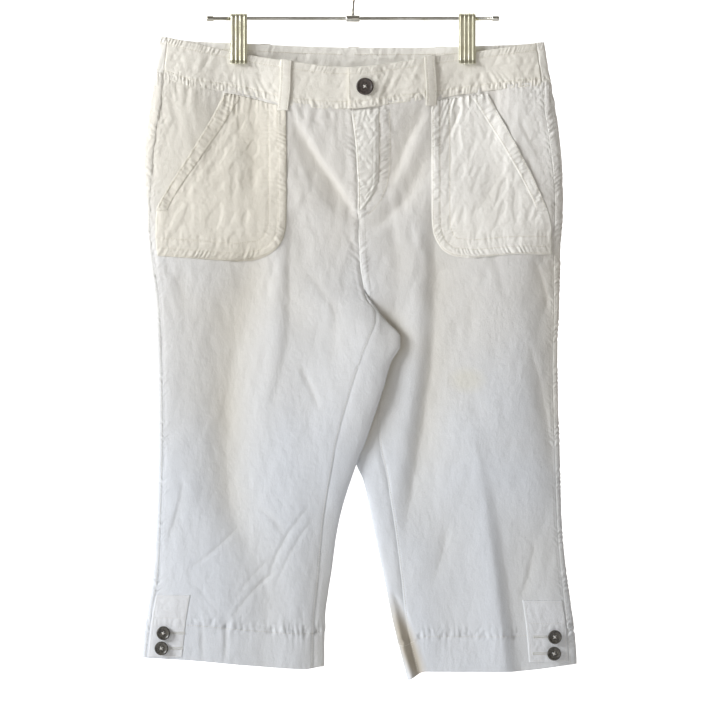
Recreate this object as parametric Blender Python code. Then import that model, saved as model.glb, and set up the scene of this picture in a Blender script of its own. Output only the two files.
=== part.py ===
"""Capri pants hung by the waistband from a clip hanger.

Metres, +Z up. The origin is the seat inside the top of the hanger's hook.
The front of the garment faces -Y. Right and left are the wearer's, so the
wearer's right leg is at -X.

All shapes are worked out in millimetres and scaled once, in add_mesh().
A place on the cloth is given by x and by its drop, the distance below the
top corner of the waistband. Each half of the garment is a flattened tube:
at every drop its outline in plan is a lens with a round fold at the outer
edge (turn 0) and another at the inner edge (turn pi). Positive turns run
over the front, negative turns over the back.
"""
import math

import bmesh
import bpy
from mathutils import Vector

# ---- driving dimensions, millimetres --------------------------------------
MM = 0.001
CLOTH = 1.5                 # wall of the panels
BAND_WALL = 2.2             # folded and interfaced waistband
PATCH_WALL = 1.2            # pockets, fly and tabs that lie on a panel
SEAM_GAP = 0.32             # between pieces sewn edge to edge
PATCH_LIFT = 0.9            # from a panel to what lies on it
SEW_DOWN = 2.6              # top of a patch below the waist seam
BAND_PROUD = 0.4            # the waistband stands this far out of the panels
ROUNDNESS = 0.7             # 1 is an ellipse, less is a flatter lens

BAR_DROP = 70.0             # hook seat to the middle of the hanger's bar
WAIST_DROP = 92.0           # hook seat to the top corner of the waistband
BAR_RADIUS = 2.5
BAR_HALF_LENGTH = 186.0
HOOK_INSIDE_RADIUS = 18.0
HOOK_WIRE_RADIUS = 2.0
CLIP_X = 145.0              # each clip, from the middle of the bar
CLIP_WIDTH = 21.0
CLIP_WALL = 1.4
CLIP_REACH = 35.0           # bottom of the jaws below the waistband's corner
CLIP_RIBS = 4
RIB_HEIGHT = 0.9
JAW_HALF_GAP = 4.2          # jaw to the middle plane, over two bands
JAW_FLARE = 6.2             # the same, at the jaw's turned-out tip
CLIP_BEND = 5.0             # inside radius of the bend over the bar
BAR_FERRULE = 3.6           # radius of the stops at the bar's ends
BAR_BOSS = 4.4              # radius of the boss that holds the hook's stem

SPLIT = 322.0               # drop of the crotch seam
SIDE_BLEND = 60.0           # band edges of front and back meet over this width
LEVEL_ROWS_FROM = 200.0     # rows are level between these two drops
LEVEL_ROWS_TO = 640.0
TOP_ROW = 51.0              # waist seam at the right side seam
LAST_ROW = 800.0            # mean drop of the hems

WAIST_BUTTON = 22.0
HEM_BUTTON = 17.6
BUTTON_THICK = 3.0
LOOP_WIDTH = 15.0
LOOP_WALL = 1.3
LOOP_ABOVE = 1.0            # a loop runs from above the band's top edge
LOOP_BELOW = 8.0            # to below its seam
LOOP_FREE = 1.7             # and stands off this much further in the middle
TAB_UNDERLAP = 30.0         # right band under the left band's tab
TAB_EDGE_X = -6.0
LAP_GAP = 0.4               # between the lapped ends of the band
LAP_FADE = 22.0             # length over which the upper one comes down

# Outer edge of each half, and the side seam's distance in from it on the front.
RIGHT_OUTLINE = (
    # drop, outer edge, side seam
    (0, -245, 10),
    (51, -251, 11),
    (90, -258, 14),
    (150, -265.4, 13),
    (203, -263.3, 7),
    (270, -259, 4),
    (322, -253, 6),
    (364, -249.5, 6),
    (509, -246.4, 6),
    (613, -249, 6),
    (690, -254, 7),
    (735, -261.6, 6),
    (805, -269.5, 6),
)
LEFT_OUTLINE = (
    # drop, outer edge, side seam
    (0, 241, 10),
    (51, 249.5, 11),
    (90, 257, 15),
    (157, 264.8, 13),
    (217, 267, 11),
    (270, 263.6, 9),
    (353, 261, 6),
    (413, 259.1, 6),
    (526, 262, 6),
    (629, 265.4, 6),
    (690, 271.8, 7),
    (745, 280.3, 10),
    (820, 286.4, 11),
)
# The seam between the two halves, from the waist to the crotch.
CENTRE_SEAM = (
    # drop, x
    (0, -5.2),
    (60, -4.5),
    (94, -2.5),
    (130, 2.5),
    (174, 5.2),
    (227, 6.3),
    (290, 9.3),
    (322, 14.4),
)
# Inner fold and inseam of each leg, from the crotch down. The right leg's
# inner part hangs in front of the left leg's.
RIGHT_INNER = (
    # drop, inner fold, inseam
    (322, 14.4, 14.4),
    (335, 20.3, 18),
    (350, 32, 29),
    (364, 45, 29),
    (381, 60.3, 22.5),
    (395, 60.3, 17),
    (413, 49, 10),
    (445, 39.4, -0.6),
    (509, 18.4, -18.7),
    (545, 4, -25.5),
    (613, -16.9, -36.6),
    (690, -28.6, -43.2),
    (735, -35.1, -48.2),
    (805, -36.4, -50.3),
)
LEFT_INNER = (
    # drop, inner fold, inseam
    (322, 14.4, 14.4),
    (335, 14, 15.5),
    (353, 9, 16.5),
    (381, 5, 20.6),
    (447, 3, 28),
    (526, 2.5, 34.5),
    (545, 4.5, 39),
    (564, 12.7, 43),
    (629, 27, 53.5),
    (690, 39.8, 61),
    (745, 51, 67.5),
    (820, 70, 83),
)
# Edges of the waistband, drops along x.
BAND_EDGES = (
    # x, front top, front seam, back top, back seam
    (-262, 0, 51, 0, 51),
    (-245, 0.5, 51.5, 0.5, 52),
    (-206, 8, 65, 6, 59),
    (-145, 21.5, 73, 9, 63),
    (-75, 33, 90, 12, 66),
    (-5, 40, 93.5, 14, 68),
    (60, 33, 86, 14, 68),
    (100, 26, 81, 14, 68),
    (145, 21, 74, 13, 67),
    (205, 13, 66.5, 10.5, 64.5),
    (243, 7.6, 64.5, 7.6, 64.5),
    (262, 7, 64, 7, 64),
)
FRONT_TOP, FRONT_SEAM, BACK_TOP, BACK_SEAM = 1, 2, 3, 4
# Hems, drops along x.
HEM_EDGE = (
    # x, drop
    (-275, 788),
    (-200, 792),
    (-135, 798),
    (-60, 803),
    (-36, 800),
    (60, 818),
    (90, 806),
    (200, 806),
    (290, 796),
)
# Fullness: half depth of the lens on the front and the back, how far the
# virtual inner fold lies past the centre seam (2 joins the halves flat, 1
# closes them), and how far the inner folds pass each other in depth.
FULLNESS = (
    # drop, front, back, reach, pass
    (0, 13, 14, 2.0, 0),
    (60, 14.5, 17, 1.98, 0),
    (120, 15.5, 20, 1.7, 0),
    (200, 15, 21, 1.36, 0),
    (280, 14, 18, 1.1, 0),
    (322, 13, 15, 1.025, 0),
    (337, 12.8, 14, 1.016, 3.5),
    (355, 12.5, 13, 1.0, 7.5),
    (380, 12.5, 13, 1.0, 11),
    (450, 12.5, 13, 1.0, 10.5),
    (490, 12.5, 13, 1.0, 7.5),
    (545, 12.5, 13, 1.0, 4),
    (620, 12.8, 13, 1.0, 1),
    (700, 13.5, 13.5, 1.0, 0),
    (820, 14.5, 14.5, 1.0, 0),
)
PASS_REACH = 115.0          # length of the inner part that leans forward
FOLD_STANDOFF = 0.5         # between the two legs where they pass
FOLD_OVERRUN = 1.5          # the plane between them runs this far past the folds
STANDOFF_RAMP = 25.0
SPLIT_HALF_DEPTH = 5.6      # half depth of the crotch seam
FOLD_HALF_DEPTH = 8.0       # depth of the folds that pass each other
PASS_END = 548.0            # the inner folds are clear of each other below

# Main folds of the cloth. depth goes into the garment, so a ridge is
# negative; half_width is that of the soft trough or ridge.
FOLDS = (
    # face, x0, drop0, x1, drop1, half_width, depth
    ("front", -67, 112, -1, 232, 9, 3.2),
    ("front", -83, 249, -95, 411, 11, 2.8),
    ("front", -208, 345, -166, 522, 16, 3.6),
    ("front", -166, 522, -178, 629, 14, 3.0),
    ("front", -116, 399, -140, 577, 16, -2.8),
    ("front", -74, 415, -44, 474, 9, 2.4),
    ("front", -56, 599, -108, 686, 8, 2.2),
    ("front", -94, 676, -155, 742, 8, 2.2),
    ("front", -147, 624, -206, 673, 9, 2.2),
    ("front", 87, 112, 20, 215, 10, 3.6),
    ("front", 95, 165, 20, 246, 10, 2.4),
    ("front", 96, 238, 94, 411, 12, 3.6),
    ("front", 94, 411, 60, 604, 11, 3.2),
    ("front", 221, 386, 256, 570, 11, 2.2),
    ("front", 142, 508, 201, 806, 9, -2.6),
    ("back", -60, 120, -10, 235, 11, 3.4),
    ("back", 62, 125, 16, 250, 11, 3.2),
    ("back", -30, 250, -92, 390, 13, 3.4),
    ("back", 45, 262, 108, 385, 13, 3.2),
    ("back", -150, 300, -172, 520, 16, 3.4),
    ("back", 168, 320, 190, 560, 16, 3.2),
    ("back", -100, 480, -150, 690, 14, -2.6),
    ("back", 105, 520, 165, 780, 14, -2.6),
    ("back", -70, 590, -125, 700, 9, 2.4),
    ("back", 215, 600, 150, 720, 9, 2.2),
)
PINCH_WIDTH = 68.0          # of the clips' grip on the waist, along x
PINCH_DEPTH = 3.2           # half depth of the band between the jaws
PINCH_FROM = 66.0           # the grip fades out between these drops
PINCH_TO = 210.0

# Patch pockets on the fronts: x of the slanted mouth and of the inner edge.
POCKET_ROWS = (
    # drop, right mouth, right edge, left mouth, left edge
    (72, -163, -87, 171, 103),
    (110, -182, -87, 191, 103),
    (150, -206, -86, 213, 103),
    (185, -229, -86, 231, 103),
    (220, -248, -86, 246, 103),
    (246, -250, -87.5, 252, 104),
    (262, -250, -94, 252, 109),
    (274, -249, -106, 252, 118),
    (281, -248, -124, 252, 134),
)
POCKET_TOP = 72.0           # nominal; the real top edge follows the waist seam
POCKET_LEVEL = 160.0        # rows are level below this drop
POCKET_CORNER = 262.0       # the bottom corner curves in from here
POCKET_BOTTOM = 283.0
MOUTH_BAND = 21.0           # turned band along the mouth, at its top
MOUTH_NARROWING = 0.55      # share of that width lost at its lower end
MOUTH_END = 222.0
FLY_TOP = 96.0              # nominal, as for the pockets
FLY_LEVEL = 140.0
FLY_END = 225.0
FLY_ROWS = (
    # drop, edge, stitched side
    (96, -2.5, 33),
    (140, 3, 33),
    (185, 5.8, 32),
    (203, 6.2, 27),
    (217, 6.3, 18),
    (225, 6.5, 10),
)


# ---- formulas ---------------------------------------------------------------
def smooth(rows, column, at):
    """Value of one column of a table, on a smooth curve through its rows."""
    if at <= rows[0][0]:
        return rows[0][column]
    if at >= rows[-1][0]:
        return rows[-1][column]
    i = 0
    while rows[i + 1][0] < at:
        i += 1
    before, start, end, after = rows[max(i - 1, 0)], rows[i], rows[i + 1], rows[min(i + 2, len(rows) - 1)]
    span = end[0] - start[0]
    rise = end[column] - start[column]
    slopes = []
    for first, last in ((before, end), (start, after)):
        slope = (last[column] - first[column]) / (last[0] - first[0]) * span
        same_way = slope * rise > 0
        slopes.append(max(-3 * abs(rise), min(3 * abs(rise), slope)) if same_way else 0.0)
    t = (at - start[0]) / span
    ease = t * t * (3 - 2 * t)
    return (start[column] + rise * ease + slopes[0] * t * (1 - t) ** 2
            - slopes[1] * t * t * (1 - t))


def ramp(value, low, high):
    """0 below low, 1 above high, eased between."""
    t = min(1.0, max(0.0, (value - low) / (high - low)))
    return t * t * (3 - 2 * t)


def fold_depth(face, x, drop):
    """How far the folds of one face push the cloth into the garment."""
    total = 0.0
    for where, x0, drop0, x1, drop1, half_width, depth in FOLDS:
        if where != face:
            continue
        length = math.hypot(x1 - x0, drop1 - drop0)
        along = ((x - x0) * (x1 - x0) + (drop - drop0) * (drop1 - drop0)) / length
        aside = ((x - x0) * (drop1 - drop0) - (drop - drop0) * (x1 - x0)) / length
        if abs(aside) > 3 * half_width:
            continue
        taper = min(45.0, length / 2)
        ends = ramp(along, -taper / 3, taper) * (1 - ramp(along, length - taper, length + taper / 3))
        total += depth * ends * math.exp(-(aside / half_width) ** 2)
    return total


class Half:
    """One half of the garment: its outline and its place in depth."""

    def __init__(self, outline, inner_edge, side):
        self.outline = outline
        self.inner_edge = inner_edge
        self.side = side                    # -1 is the wearer's right

    def outer(self, drop):
        return smooth(self.outline, 1, drop)

    def inner(self, drop):
        """x of the centre seam, or of the inner fold below the crotch."""
        if drop < SPLIT:
            return smooth(CENTRE_SEAM, 1, drop)
        return smooth(self.inner_edge, 1, drop)

    def tip(self, drop):
        """x of the lens's inner fold, past the centre seam on the trunk."""
        outer, inner = self.outer(drop), self.inner(drop)
        return outer + (inner - outer) * smooth(FULLNESS, 3, drop)

    def turn_at(self, x, drop):
        """Turn of the front point at x."""
        outer, tip = self.outer(drop), self.tip(drop)
        cosine = 1 - 2 * (x - outer) / (tip - outer)
        return math.acos(max(-1.0, min(1.0, cosine)))

    def side_seam(self, drop):
        offset = smooth(self.outline, 2, drop)
        return self.turn_at(self.outer(drop) - self.side * offset, drop)

    def centre_seam(self, drop):
        """Turn at the centre seam, or at the inseam below the crotch."""
        x = self.inner(drop) if drop < SPLIT else smooth(self.inner_edge, 2, drop)
        return self.turn_at(x, drop)

    def point(self, turn, drop, inset=0.0, folds=True):
        """Point of the cloth's outer face, or of one inset into it."""
        outer, tip = self.outer(drop), self.tip(drop)
        share = (1 - math.cos(turn)) / 2
        x = outer - self.side * inset + (tip - outer + 2 * self.side * inset) * share
        front = math.sin(turn) > 0
        depth = smooth(FULLNESS, 1 if front else 2, drop)
        grip = 1 - ramp(abs(abs(x) - CLIP_X), CLIP_WIDTH * 0.9, PINCH_WIDTH)
        grip *= 1 - ramp(drop, PINCH_FROM, PINCH_TO)
        swell = abs(math.sin(turn)) ** ROUNDNESS
        gripped = depth + (PINCH_DEPTH / max(swell, 0.5) - depth) * grip
        y = (gripped - inset) * swell
        if folds:
            y -= fold_depth("front" if front else "back", x, drop) * ramp(swell, 0.25, 0.8) * (1 - grip)
        if front:
            y = -y
        lean = ramp(abs(x - tip), PASS_REACH, 0.0) if drop > SPLIT else 0.0
        y += self.side * smooth(FULLNESS, 4, drop) * lean
        if SPLIT <= drop <= PASS_END:
            x, y = self.clear_of_other_leg(x, y, drop, inset)
        return x, y

    def clear_of_other_leg(self, x, y, drop, inset):
        """Hold a point on its own side of the plane between the two legs."""
        right_tip = smooth(RIGHT_INNER, 1, drop)
        left_tip = smooth(LEFT_INNER, 1, drop)
        fade = ramp(drop, SPLIT, SPLIT + STANDOFF_RAMP)
        half_depth = SPLIT_HALF_DEPTH + (FOLD_HALF_DEPTH - SPLIT_HALF_DEPTH) * fade
        front_x = max(right_tip, left_tip) + FOLD_OVERRUN * fade
        back_x = min(right_tip, left_tip) - FOLD_OVERRUN * fade
        along_x, along_y = front_x - back_x, -2 * half_depth
        length = math.hypot(along_x, along_y)
        normal_x, normal_y = -along_y / length, along_x / length
        middle = (front_x + back_x) / 2
        apart = ramp(drop, SPLIT - 1, SPLIT + 5) * FOLD_STANDOFF
        standoff = SEAM_GAP / 2 + apart + inset
        past = self.side * -1 * ((x - middle) * normal_x + y * normal_y) + standoff
        if past > 0:
            x += self.side * normal_x * past
            y += self.side * normal_y * past
        return x, y


RIGHT = Half(RIGHT_OUTLINE, RIGHT_INNER, -1)
LEFT = Half(LEFT_OUTLINE, LEFT_INNER, 1)


# ---- rows and columns of the panels -----------------------------------------
TRUNK_ROWS = 9
CROTCH_DROPS = (326, 331, 337, 344, 353, 364, 378, 394, 412, 432, 454)
LEG_ROWS = 11
FRONT_COLUMNS = 13
BACK_COLUMNS = 15
INNER_COLUMNS = 5           # of a back panel, round the inner fold


def panel_rows():
    """Nominal drops of a panel's rows; one of them is the crotch seam."""
    trunk = [TOP_ROW + (SPLIT - TOP_ROW) * i / TRUNK_ROWS for i in range(TRUNK_ROWS)]
    last = CROTCH_DROPS[-1]
    legs = [last + (LAST_ROW - last) * (i + 1) / LEG_ROWS for i in range(LEG_ROWS)]
    return trunk + [SPLIT] + list(CROTCH_DROPS) + legs


def band_edge(half, column, x):
    """Drop of a waistband edge; front and back meet at the side seam."""
    side_x = half.outer(TOP_ROW) - half.side * smooth(half.outline, 2, TOP_ROW)
    front_column = FRONT_TOP if column in (FRONT_TOP, BACK_TOP) else FRONT_SEAM
    step = smooth(BAND_EDGES, front_column, side_x) - smooth(BAND_EDGES, column, side_x)
    return smooth(BAND_EDGES, column, x) + step * (1 - ramp(abs(x - side_x), 0, SIDE_BLEND))


def row_drop(half, face, x, nominal):
    """Drop at x of the row that is at the nominal drop where rows are level."""
    drop = nominal
    if nominal < LEVEL_ROWS_FROM:
        fade = (LEVEL_ROWS_FROM - nominal) / (LEVEL_ROWS_FROM - TOP_ROW)
        seam = band_edge(half, FRONT_SEAM if face == "front" else BACK_SEAM, x) + SEAM_GAP / 2
        drop += (seam - TOP_ROW) * fade
    if nominal > LEVEL_ROWS_TO:
        grow = (nominal - LEVEL_ROWS_TO) / (LAST_ROW - LEVEL_ROWS_TO)
        drop += (smooth(HEM_EDGE, 1, x) - LAST_ROW) * grow
    return drop


def turn_of(half, turn, drop, distance):
    """Change of turn that moves a point this far along the cloth."""
    step = 0.01
    x0, y0 = half.point(turn - step, drop, folds=False)
    x1, y1 = half.point(turn + step, drop, folds=False)
    return distance * 2 * step / max(math.hypot(x1 - x0, y1 - y0), 1e-6)


def front_turn(half, share, drop):
    """Turn at a share of the way from the side seam to the centre."""
    start, end = half.side_seam(drop), half.centre_seam(drop)
    start += turn_of(half, start, drop, SEAM_GAP / 2)
    end -= turn_of(half, end, drop, SEAM_GAP / 2)
    return start + (end - start) * share


def back_turn(half, column, drop):
    """Turn of a back panel's column, from the side seam round the back."""
    start = half.side_seam(drop)
    start -= turn_of(half, start, drop, SEAM_GAP / 2)
    closed = -half.centre_seam(min(drop, SPLIT))
    if drop < SPLIT:
        closed += turn_of(half, closed, drop, SEAM_GAP / 2)
    if column <= BACK_COLUMNS:
        return start + (closed - start) * column / BACK_COLUMNS
    end = half.centre_seam(drop) - 2 * math.pi
    end += turn_of(half, end, drop, SEAM_GAP / 2)
    return closed + (end - closed) * (column - BACK_COLUMNS) / INNER_COLUMNS


# ---- solids --------------------------------------------------------------------
def finish_material(name, colour, roughness, metallic=0.0):
    material = bpy.data.materials.new(name)
    material.use_nodes = True
    shader = material.node_tree.nodes["Principled BSDF"]
    shader.inputs["Base Color"].default_value = (*colour, 1.0)
    shader.inputs["Roughness"].default_value = roughness
    shader.inputs["Metallic"].default_value = metallic
    return material


def link(name, data, material):
    data.materials.append(material)
    bpy.context.scene.collection.objects.link(bpy.data.objects.new(name, data))


def add_mesh(name, points, faces, material):
    """A closed body from points (x, y, drop) in millimetres."""
    places = [(x * MM, y * MM, -(WAIST_DROP + drop) * MM) for x, y, drop in points]
    mesh = bpy.data.meshes.new(name)
    mesh.from_pydata(places, [], faces)
    body = bmesh.new()
    body.from_mesh(mesh)
    bmesh.ops.recalc_face_normals(body, faces=body.faces)
    body.to_mesh(mesh)
    body.free()
    mesh.shade_smooth()
    mesh.set_sharp_from_angle(angle=math.radians(35))
    link(name, mesh, material)


def flattest_halves(skin, ring):
    """Two triangles of a cell, cut along the diagonal that bends it least."""
    places = [Vector(skin[j][i]) for j, i in ring]
    choices = []
    for first in (0, 1):
        a, b, c, d = (places[(first + k) % 4] for k in range(4))
        bend = (b - a).cross(c - a).angle((c - a).cross(d - a), math.pi)
        choices.append((bend, first))
    first = min(choices)[1]
    a, b, c, d = (ring[(first + k) % 4] for k in range(4))
    return (a, b, c), (a, c, d)


def wall(name, outer, inner, material):
    """A cloth wall between two grids of points; a missing point is None."""
    number = {}
    points = []
    for skin in (outer, inner):
        for j, row in enumerate(skin):
            for i, place in enumerate(row):
                if place is not None:
                    number[skin is outer, j, i] = len(points)
                    points.append(place)
    faces = []
    edges = {}
    for j in range(len(outer) - 1):
        for i in range(len(outer[0]) - 1):
            ring = [(j, i), (j, i + 1), (j + 1, i + 1), (j + 1, i)]
            if any((True, *corner) not in number for corner in ring):
                continue
            for corners in flattest_halves(outer, ring):
                faces.append([number[(True, *corner)] for corner in corners])
                faces.append([number[(False, *corner)] for corner in reversed(corners)])
            for first, last in zip(ring, ring[1:] + ring[:1]):
                edges[first, last] = (last, first) not in edges
                if not edges[first, last]:
                    edges[last, first] = False
    for (first, last), free in edges.items():
        if free:
            faces.append([number[(True, *last)], number[(True, *first)],
                          number[(False, *first)], number[(False, *last)]])
    add_mesh(name, points, faces, material)


def cloth_point(half, turn, drop, inset=0.0):
    return (*half.point(turn, drop, inset), drop)


def front_panel(name, half, material):
    skins = ([], [])
    for nominal in panel_rows():
        for skin, inset in zip(skins, (0.0, CLOTH)):
            row = []
            for column in range(FRONT_COLUMNS + 1):
                share = column / FRONT_COLUMNS
                x = half.point(front_turn(half, share, nominal), nominal)[0]
                drop = row_drop(half, "front", x, nominal)
                row.append(cloth_point(half, front_turn(half, share, drop), drop, inset))
            skin.append(row)
    wall(name, *skins, material)


def back_panel(name, half, material):
    skins = ([], [])
    for nominal in panel_rows():
        for skin, inset in zip(skins, (0.0, CLOTH)):
            row = []
            for column in range(BACK_COLUMNS + INNER_COLUMNS + 1):
                if column > BACK_COLUMNS and nominal < SPLIT:
                    row.append(None)
                    continue
                x = half.point(back_turn(half, column, nominal), nominal)[0]
                drop = row_drop(half, "back", x, nominal)
                row.append(cloth_point(half, back_turn(half, column, drop), drop, inset))
            skin.append(row)
    wall(name, *skins, material)


BAND_ROWS = 4
UNDERLAP_COLUMNS = 3


def tab_raise(half, top_column, x):
    """The left front band lies on the right band's end, over the underlap."""
    if half.side < 0 or top_column != FRONT_TOP:
        return 0.0
    underlap_end = TAB_EDGE_X + TAB_UNDERLAP
    return (BAND_WALL + LAP_GAP) * (1 - ramp(x, underlap_end + 2, underlap_end + 2 + LAP_FADE))


def band_point(half, turn_at_drop, top_column, nominal, inset):
    """Point of a band whose columns carry on those of the panel below."""
    x = half.point(turn_at_drop(nominal), nominal)[0]
    top = band_edge(half, top_column, x)
    seam = band_edge(half, top_column + 1, x) - SEAM_GAP / 2
    drop = top + (seam - top) * nominal / TOP_ROW
    return cloth_point(half, turn_at_drop(drop), drop, inset - tab_raise(half, top_column, x))


def front_band(name, half, end_x, material):
    """From the side seam to end_x, which may lie past the centre seam."""
    skins = ([], [])
    for j in range(BAND_ROWS + 1):
        nominal = TOP_ROW * j / BAND_ROWS
        for skin, inset in zip(skins, (-BAND_PROUD, BAND_WALL - BAND_PROUD)):
            row = []
            for column in range(FRONT_COLUMNS + UNDERLAP_COLUMNS + 1):
                def turn_at_drop(drop):
                    share = min(1.0, column / FRONT_COLUMNS)
                    turn = front_turn(half, share, drop)
                    past = max(0, column - FRONT_COLUMNS) / UNDERLAP_COLUMNS
                    return turn + (half.turn_at(end_x, drop) - turn) * past
                row.append(band_point(half, turn_at_drop, FRONT_TOP, nominal, inset))
            skin.append(row)
    wall(name, *skins, material)


def back_band(name, material):
    skins = ([], [])
    columns = [(RIGHT, column) for column in range(BACK_COLUMNS)]
    columns += [(LEFT, column) for column in range(BACK_COLUMNS, -1, -1)]
    for j in range(BAND_ROWS + 1):
        nominal = TOP_ROW * j / BAND_ROWS
        for skin, inset in zip(skins, (-BAND_PROUD, BAND_WALL - BAND_PROUD)):
            skin.append([
                band_point(half, lambda drop: back_turn(half, column, drop), BACK_TOP, nominal, inset)
                for half, column in columns])
    wall(name, *skins, material)


def outward(half, x, drop):
    """The point of the front's outer face at x and the direction out of it."""
    step = 0.02
    rise = 2.0
    turn = half.turn_at(x, drop)
    ax, ay = half.point(turn - step, drop)
    bx, by = half.point(turn + step, drop)
    cx, cy = half.point(turn, drop - rise)
    dx, dy = half.point(turn, drop + rise)
    along = Vector((bx - ax, by - ay, 0)).normalized()
    down = Vector((dx - cx, dy - cy, 2 * rise)).normalized()
    normal = along.cross(down).normalized()
    place = Vector((*half.point(turn, drop), drop))
    return place, -normal if normal.y > 0 else normal


def patch(name, half, rows, lift, thick, material):
    """A piece that lies on a front, through rows of (x, drop) places."""
    skins = ([], [])
    for row in rows:
        for skin, out in zip(skins, (lift + thick, lift)):
            line = []
            for x, drop in row:
                place, normal = outward(half, x, drop)
                line.append(tuple(place + normal * out))
            skin.append(line)
    wall(name, *skins, material)


def across(x_from, x_to, columns):
    return [x_from + (x_to - x_from) * i / columns for i in range(columns + 1)]


def below_seam(half, x, nominal, first, level, gap):
    """Drop of a patch's row: its first row lies under the waist seam."""
    fade = max(0.0, (level - nominal) / (level - first))
    return nominal + (band_edge(half, FRONT_SEAM, x) + gap - first) * fade


def pocket(name, half, material):
    mouth, edge = (1, 2) if half is RIGHT else (3, 4)
    drops = across(POCKET_TOP, POCKET_CORNER, 9) + [270, 277, POCKET_BOTTOM]
    rows = []
    for nominal in drops:
        ends = smooth(POCKET_ROWS, mouth, nominal), smooth(POCKET_ROWS, edge, nominal)
        rows.append([(x, below_seam(half, x, nominal, POCKET_TOP, POCKET_LEVEL, SEW_DOWN))
                     for x in across(*ends, 9)])
    patch(name, half, rows, PATCH_LIFT, PATCH_WALL, material)


def mouth_band(name, half, material):
    mouth = 1 if half is RIGHT else 3
    first = POCKET_TOP + 2
    rows = []
    for nominal in across(first, MOUTH_END, 10):
        share = (nominal - first) / (MOUTH_END - first)
        width = MOUTH_BAND * (1 - MOUTH_NARROWING * share)
        x_mouth = smooth(POCKET_ROWS, mouth, nominal)
        rows.append([
            (x, below_seam(half, x, nominal, POCKET_TOP, POCKET_LEVEL, SEW_DOWN + 0.5))
            for x in across(x_mouth, x_mouth - half.side * width, 3)])
    patch(name, half, rows, PATCH_LIFT + PATCH_WALL + 0.4, 1.0, material)


def fly(name, material):
    rows = []
    for nominal in across(FLY_TOP, FLY_END, 9):
        ends = smooth(FLY_ROWS, 1, nominal) + 0.4, smooth(FLY_ROWS, 2, nominal)
        rows.append([(x, below_seam(LEFT, x, nominal, FLY_TOP, FLY_LEVEL, SEW_DOWN))
                     for x in across(*ends, 4)])
    patch(name, LEFT, rows, PATCH_LIFT + 0.3, PATCH_WALL, material)


def hem_tab(name, half, x_from, x_to, drop_from, drop_to, material):
    """A strip on the hem that leans with the leg's outer edge."""
    rows = []
    for drop in across(drop_from, drop_to, 6):
        shift = half.outer(drop) - half.outer((drop_from + drop_to) / 2)
        rows.append([(x + shift, drop) for x in across(x_from, x_to, 4)])
    patch(name, half, rows, PATCH_LIFT, PATCH_WALL, material)


def belt_loop(name, half, x_top, x_bottom, face, material):
    """A strip sewn down at both ends, standing off the band between."""
    top_column = FRONT_TOP if face == "front" else BACK_TOP
    seat = 2.5 if face == "front" else 2.0
    top = band_edge(half, top_column, x_top) - LOOP_ABOVE
    bottom = band_edge(half, top_column + 1, x_bottom) + LOOP_BELOW
    skins = ([], [])
    for share in across(0, 1, 8):
        drop = top + (bottom - top) * share
        lift = seat + LOOP_FREE * math.sin(math.pi * share) ** 0.6
        for skin, out in zip(skins, (lift + LOOP_WALL, lift)):
            line = []
            middle = x_top + (x_bottom - x_top) * share
            for x in across(middle - LOOP_WIDTH / 2, middle + LOOP_WIDTH / 2, 2):
                turn = half.turn_at(x, drop)
                px, py = half.point(turn if face == "front" else -turn, drop)
                line.append((px, py - out if face == "front" else py + out, drop))
            skin.append(line)
    wall(name, *skins, material)


def turned(name, profile, segments, place, axis, material):
    """A body turned about an axis from (radius, height) rows."""
    z_axis = Vector(axis).normalized()
    x_axis = z_axis.orthogonal().normalized()
    y_axis = z_axis.cross(x_axis)
    points = []
    for radius, height in profile:
        for i in range(segments):
            angle = 2 * math.pi * i / segments
            offset = (x_axis * math.cos(angle) + y_axis * math.sin(angle)) * radius
            points.append(tuple(Vector(place) + offset + z_axis * height))
    faces = [list(range(segments)), list(range(len(points) - segments, len(points)))]
    for ring in range(len(profile) - 1):
        for i in range(segments):
            after = (i + 1) % segments
            base = ring * segments
            faces.append([base + i, base + after, base + segments + after, base + segments + i])
    return add_mesh(name, points, faces, material)


def button(name, half, x, drop, diameter, lift, material):
    """A round button with a raised rim, square to the cloth under it."""
    radius = diameter / 2
    place, normal = outward(half, x, drop)
    profile = (
        # radius, height
        (radius * 0.88, 0.0),
        (radius, 1.4),
        (radius * 0.93, BUTTON_THICK),
        (radius * 0.80, BUTTON_THICK),
        (radius * 0.70, BUTTON_THICK * 0.7),
    )
    turned(name, profile, 16, place + normal * lift, normal, material)


def hanger_bar(name, material):
    """A rod with a boss in the middle and a stop at each end."""
    end = BAR_HALF_LENGTH
    half_profile = (
        # distance from the middle, radius
        (8, BAR_BOSS),
        (9, BAR_RADIUS),
        (end - 9, BAR_RADIUS),
        (end - 8, BAR_FERRULE),
        (end - 0.8, BAR_FERRULE),
        (end, 2.0),
    )
    profile = [(radius, -along) for along, radius in reversed(half_profile)]
    profile += [(radius, along) for along, radius in half_profile]
    turned(name, profile, 16, (0, 0, BAR_DROP - WAIST_DROP), (1, 0, 0), material)


HOOK_STEM = (
    # x, z from the hook's seat
    (9.2, -36.8),
    (3.8, -41.5),
    (0.8, -46.5),
    (0.0, -52.0),
    (0.0, -(BAR_DROP - BAR_BOSS - 0.3)),
)
HOOK_FROM, HOOK_TO = 205.0, -42.0   # the arc's ends, degrees


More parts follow.
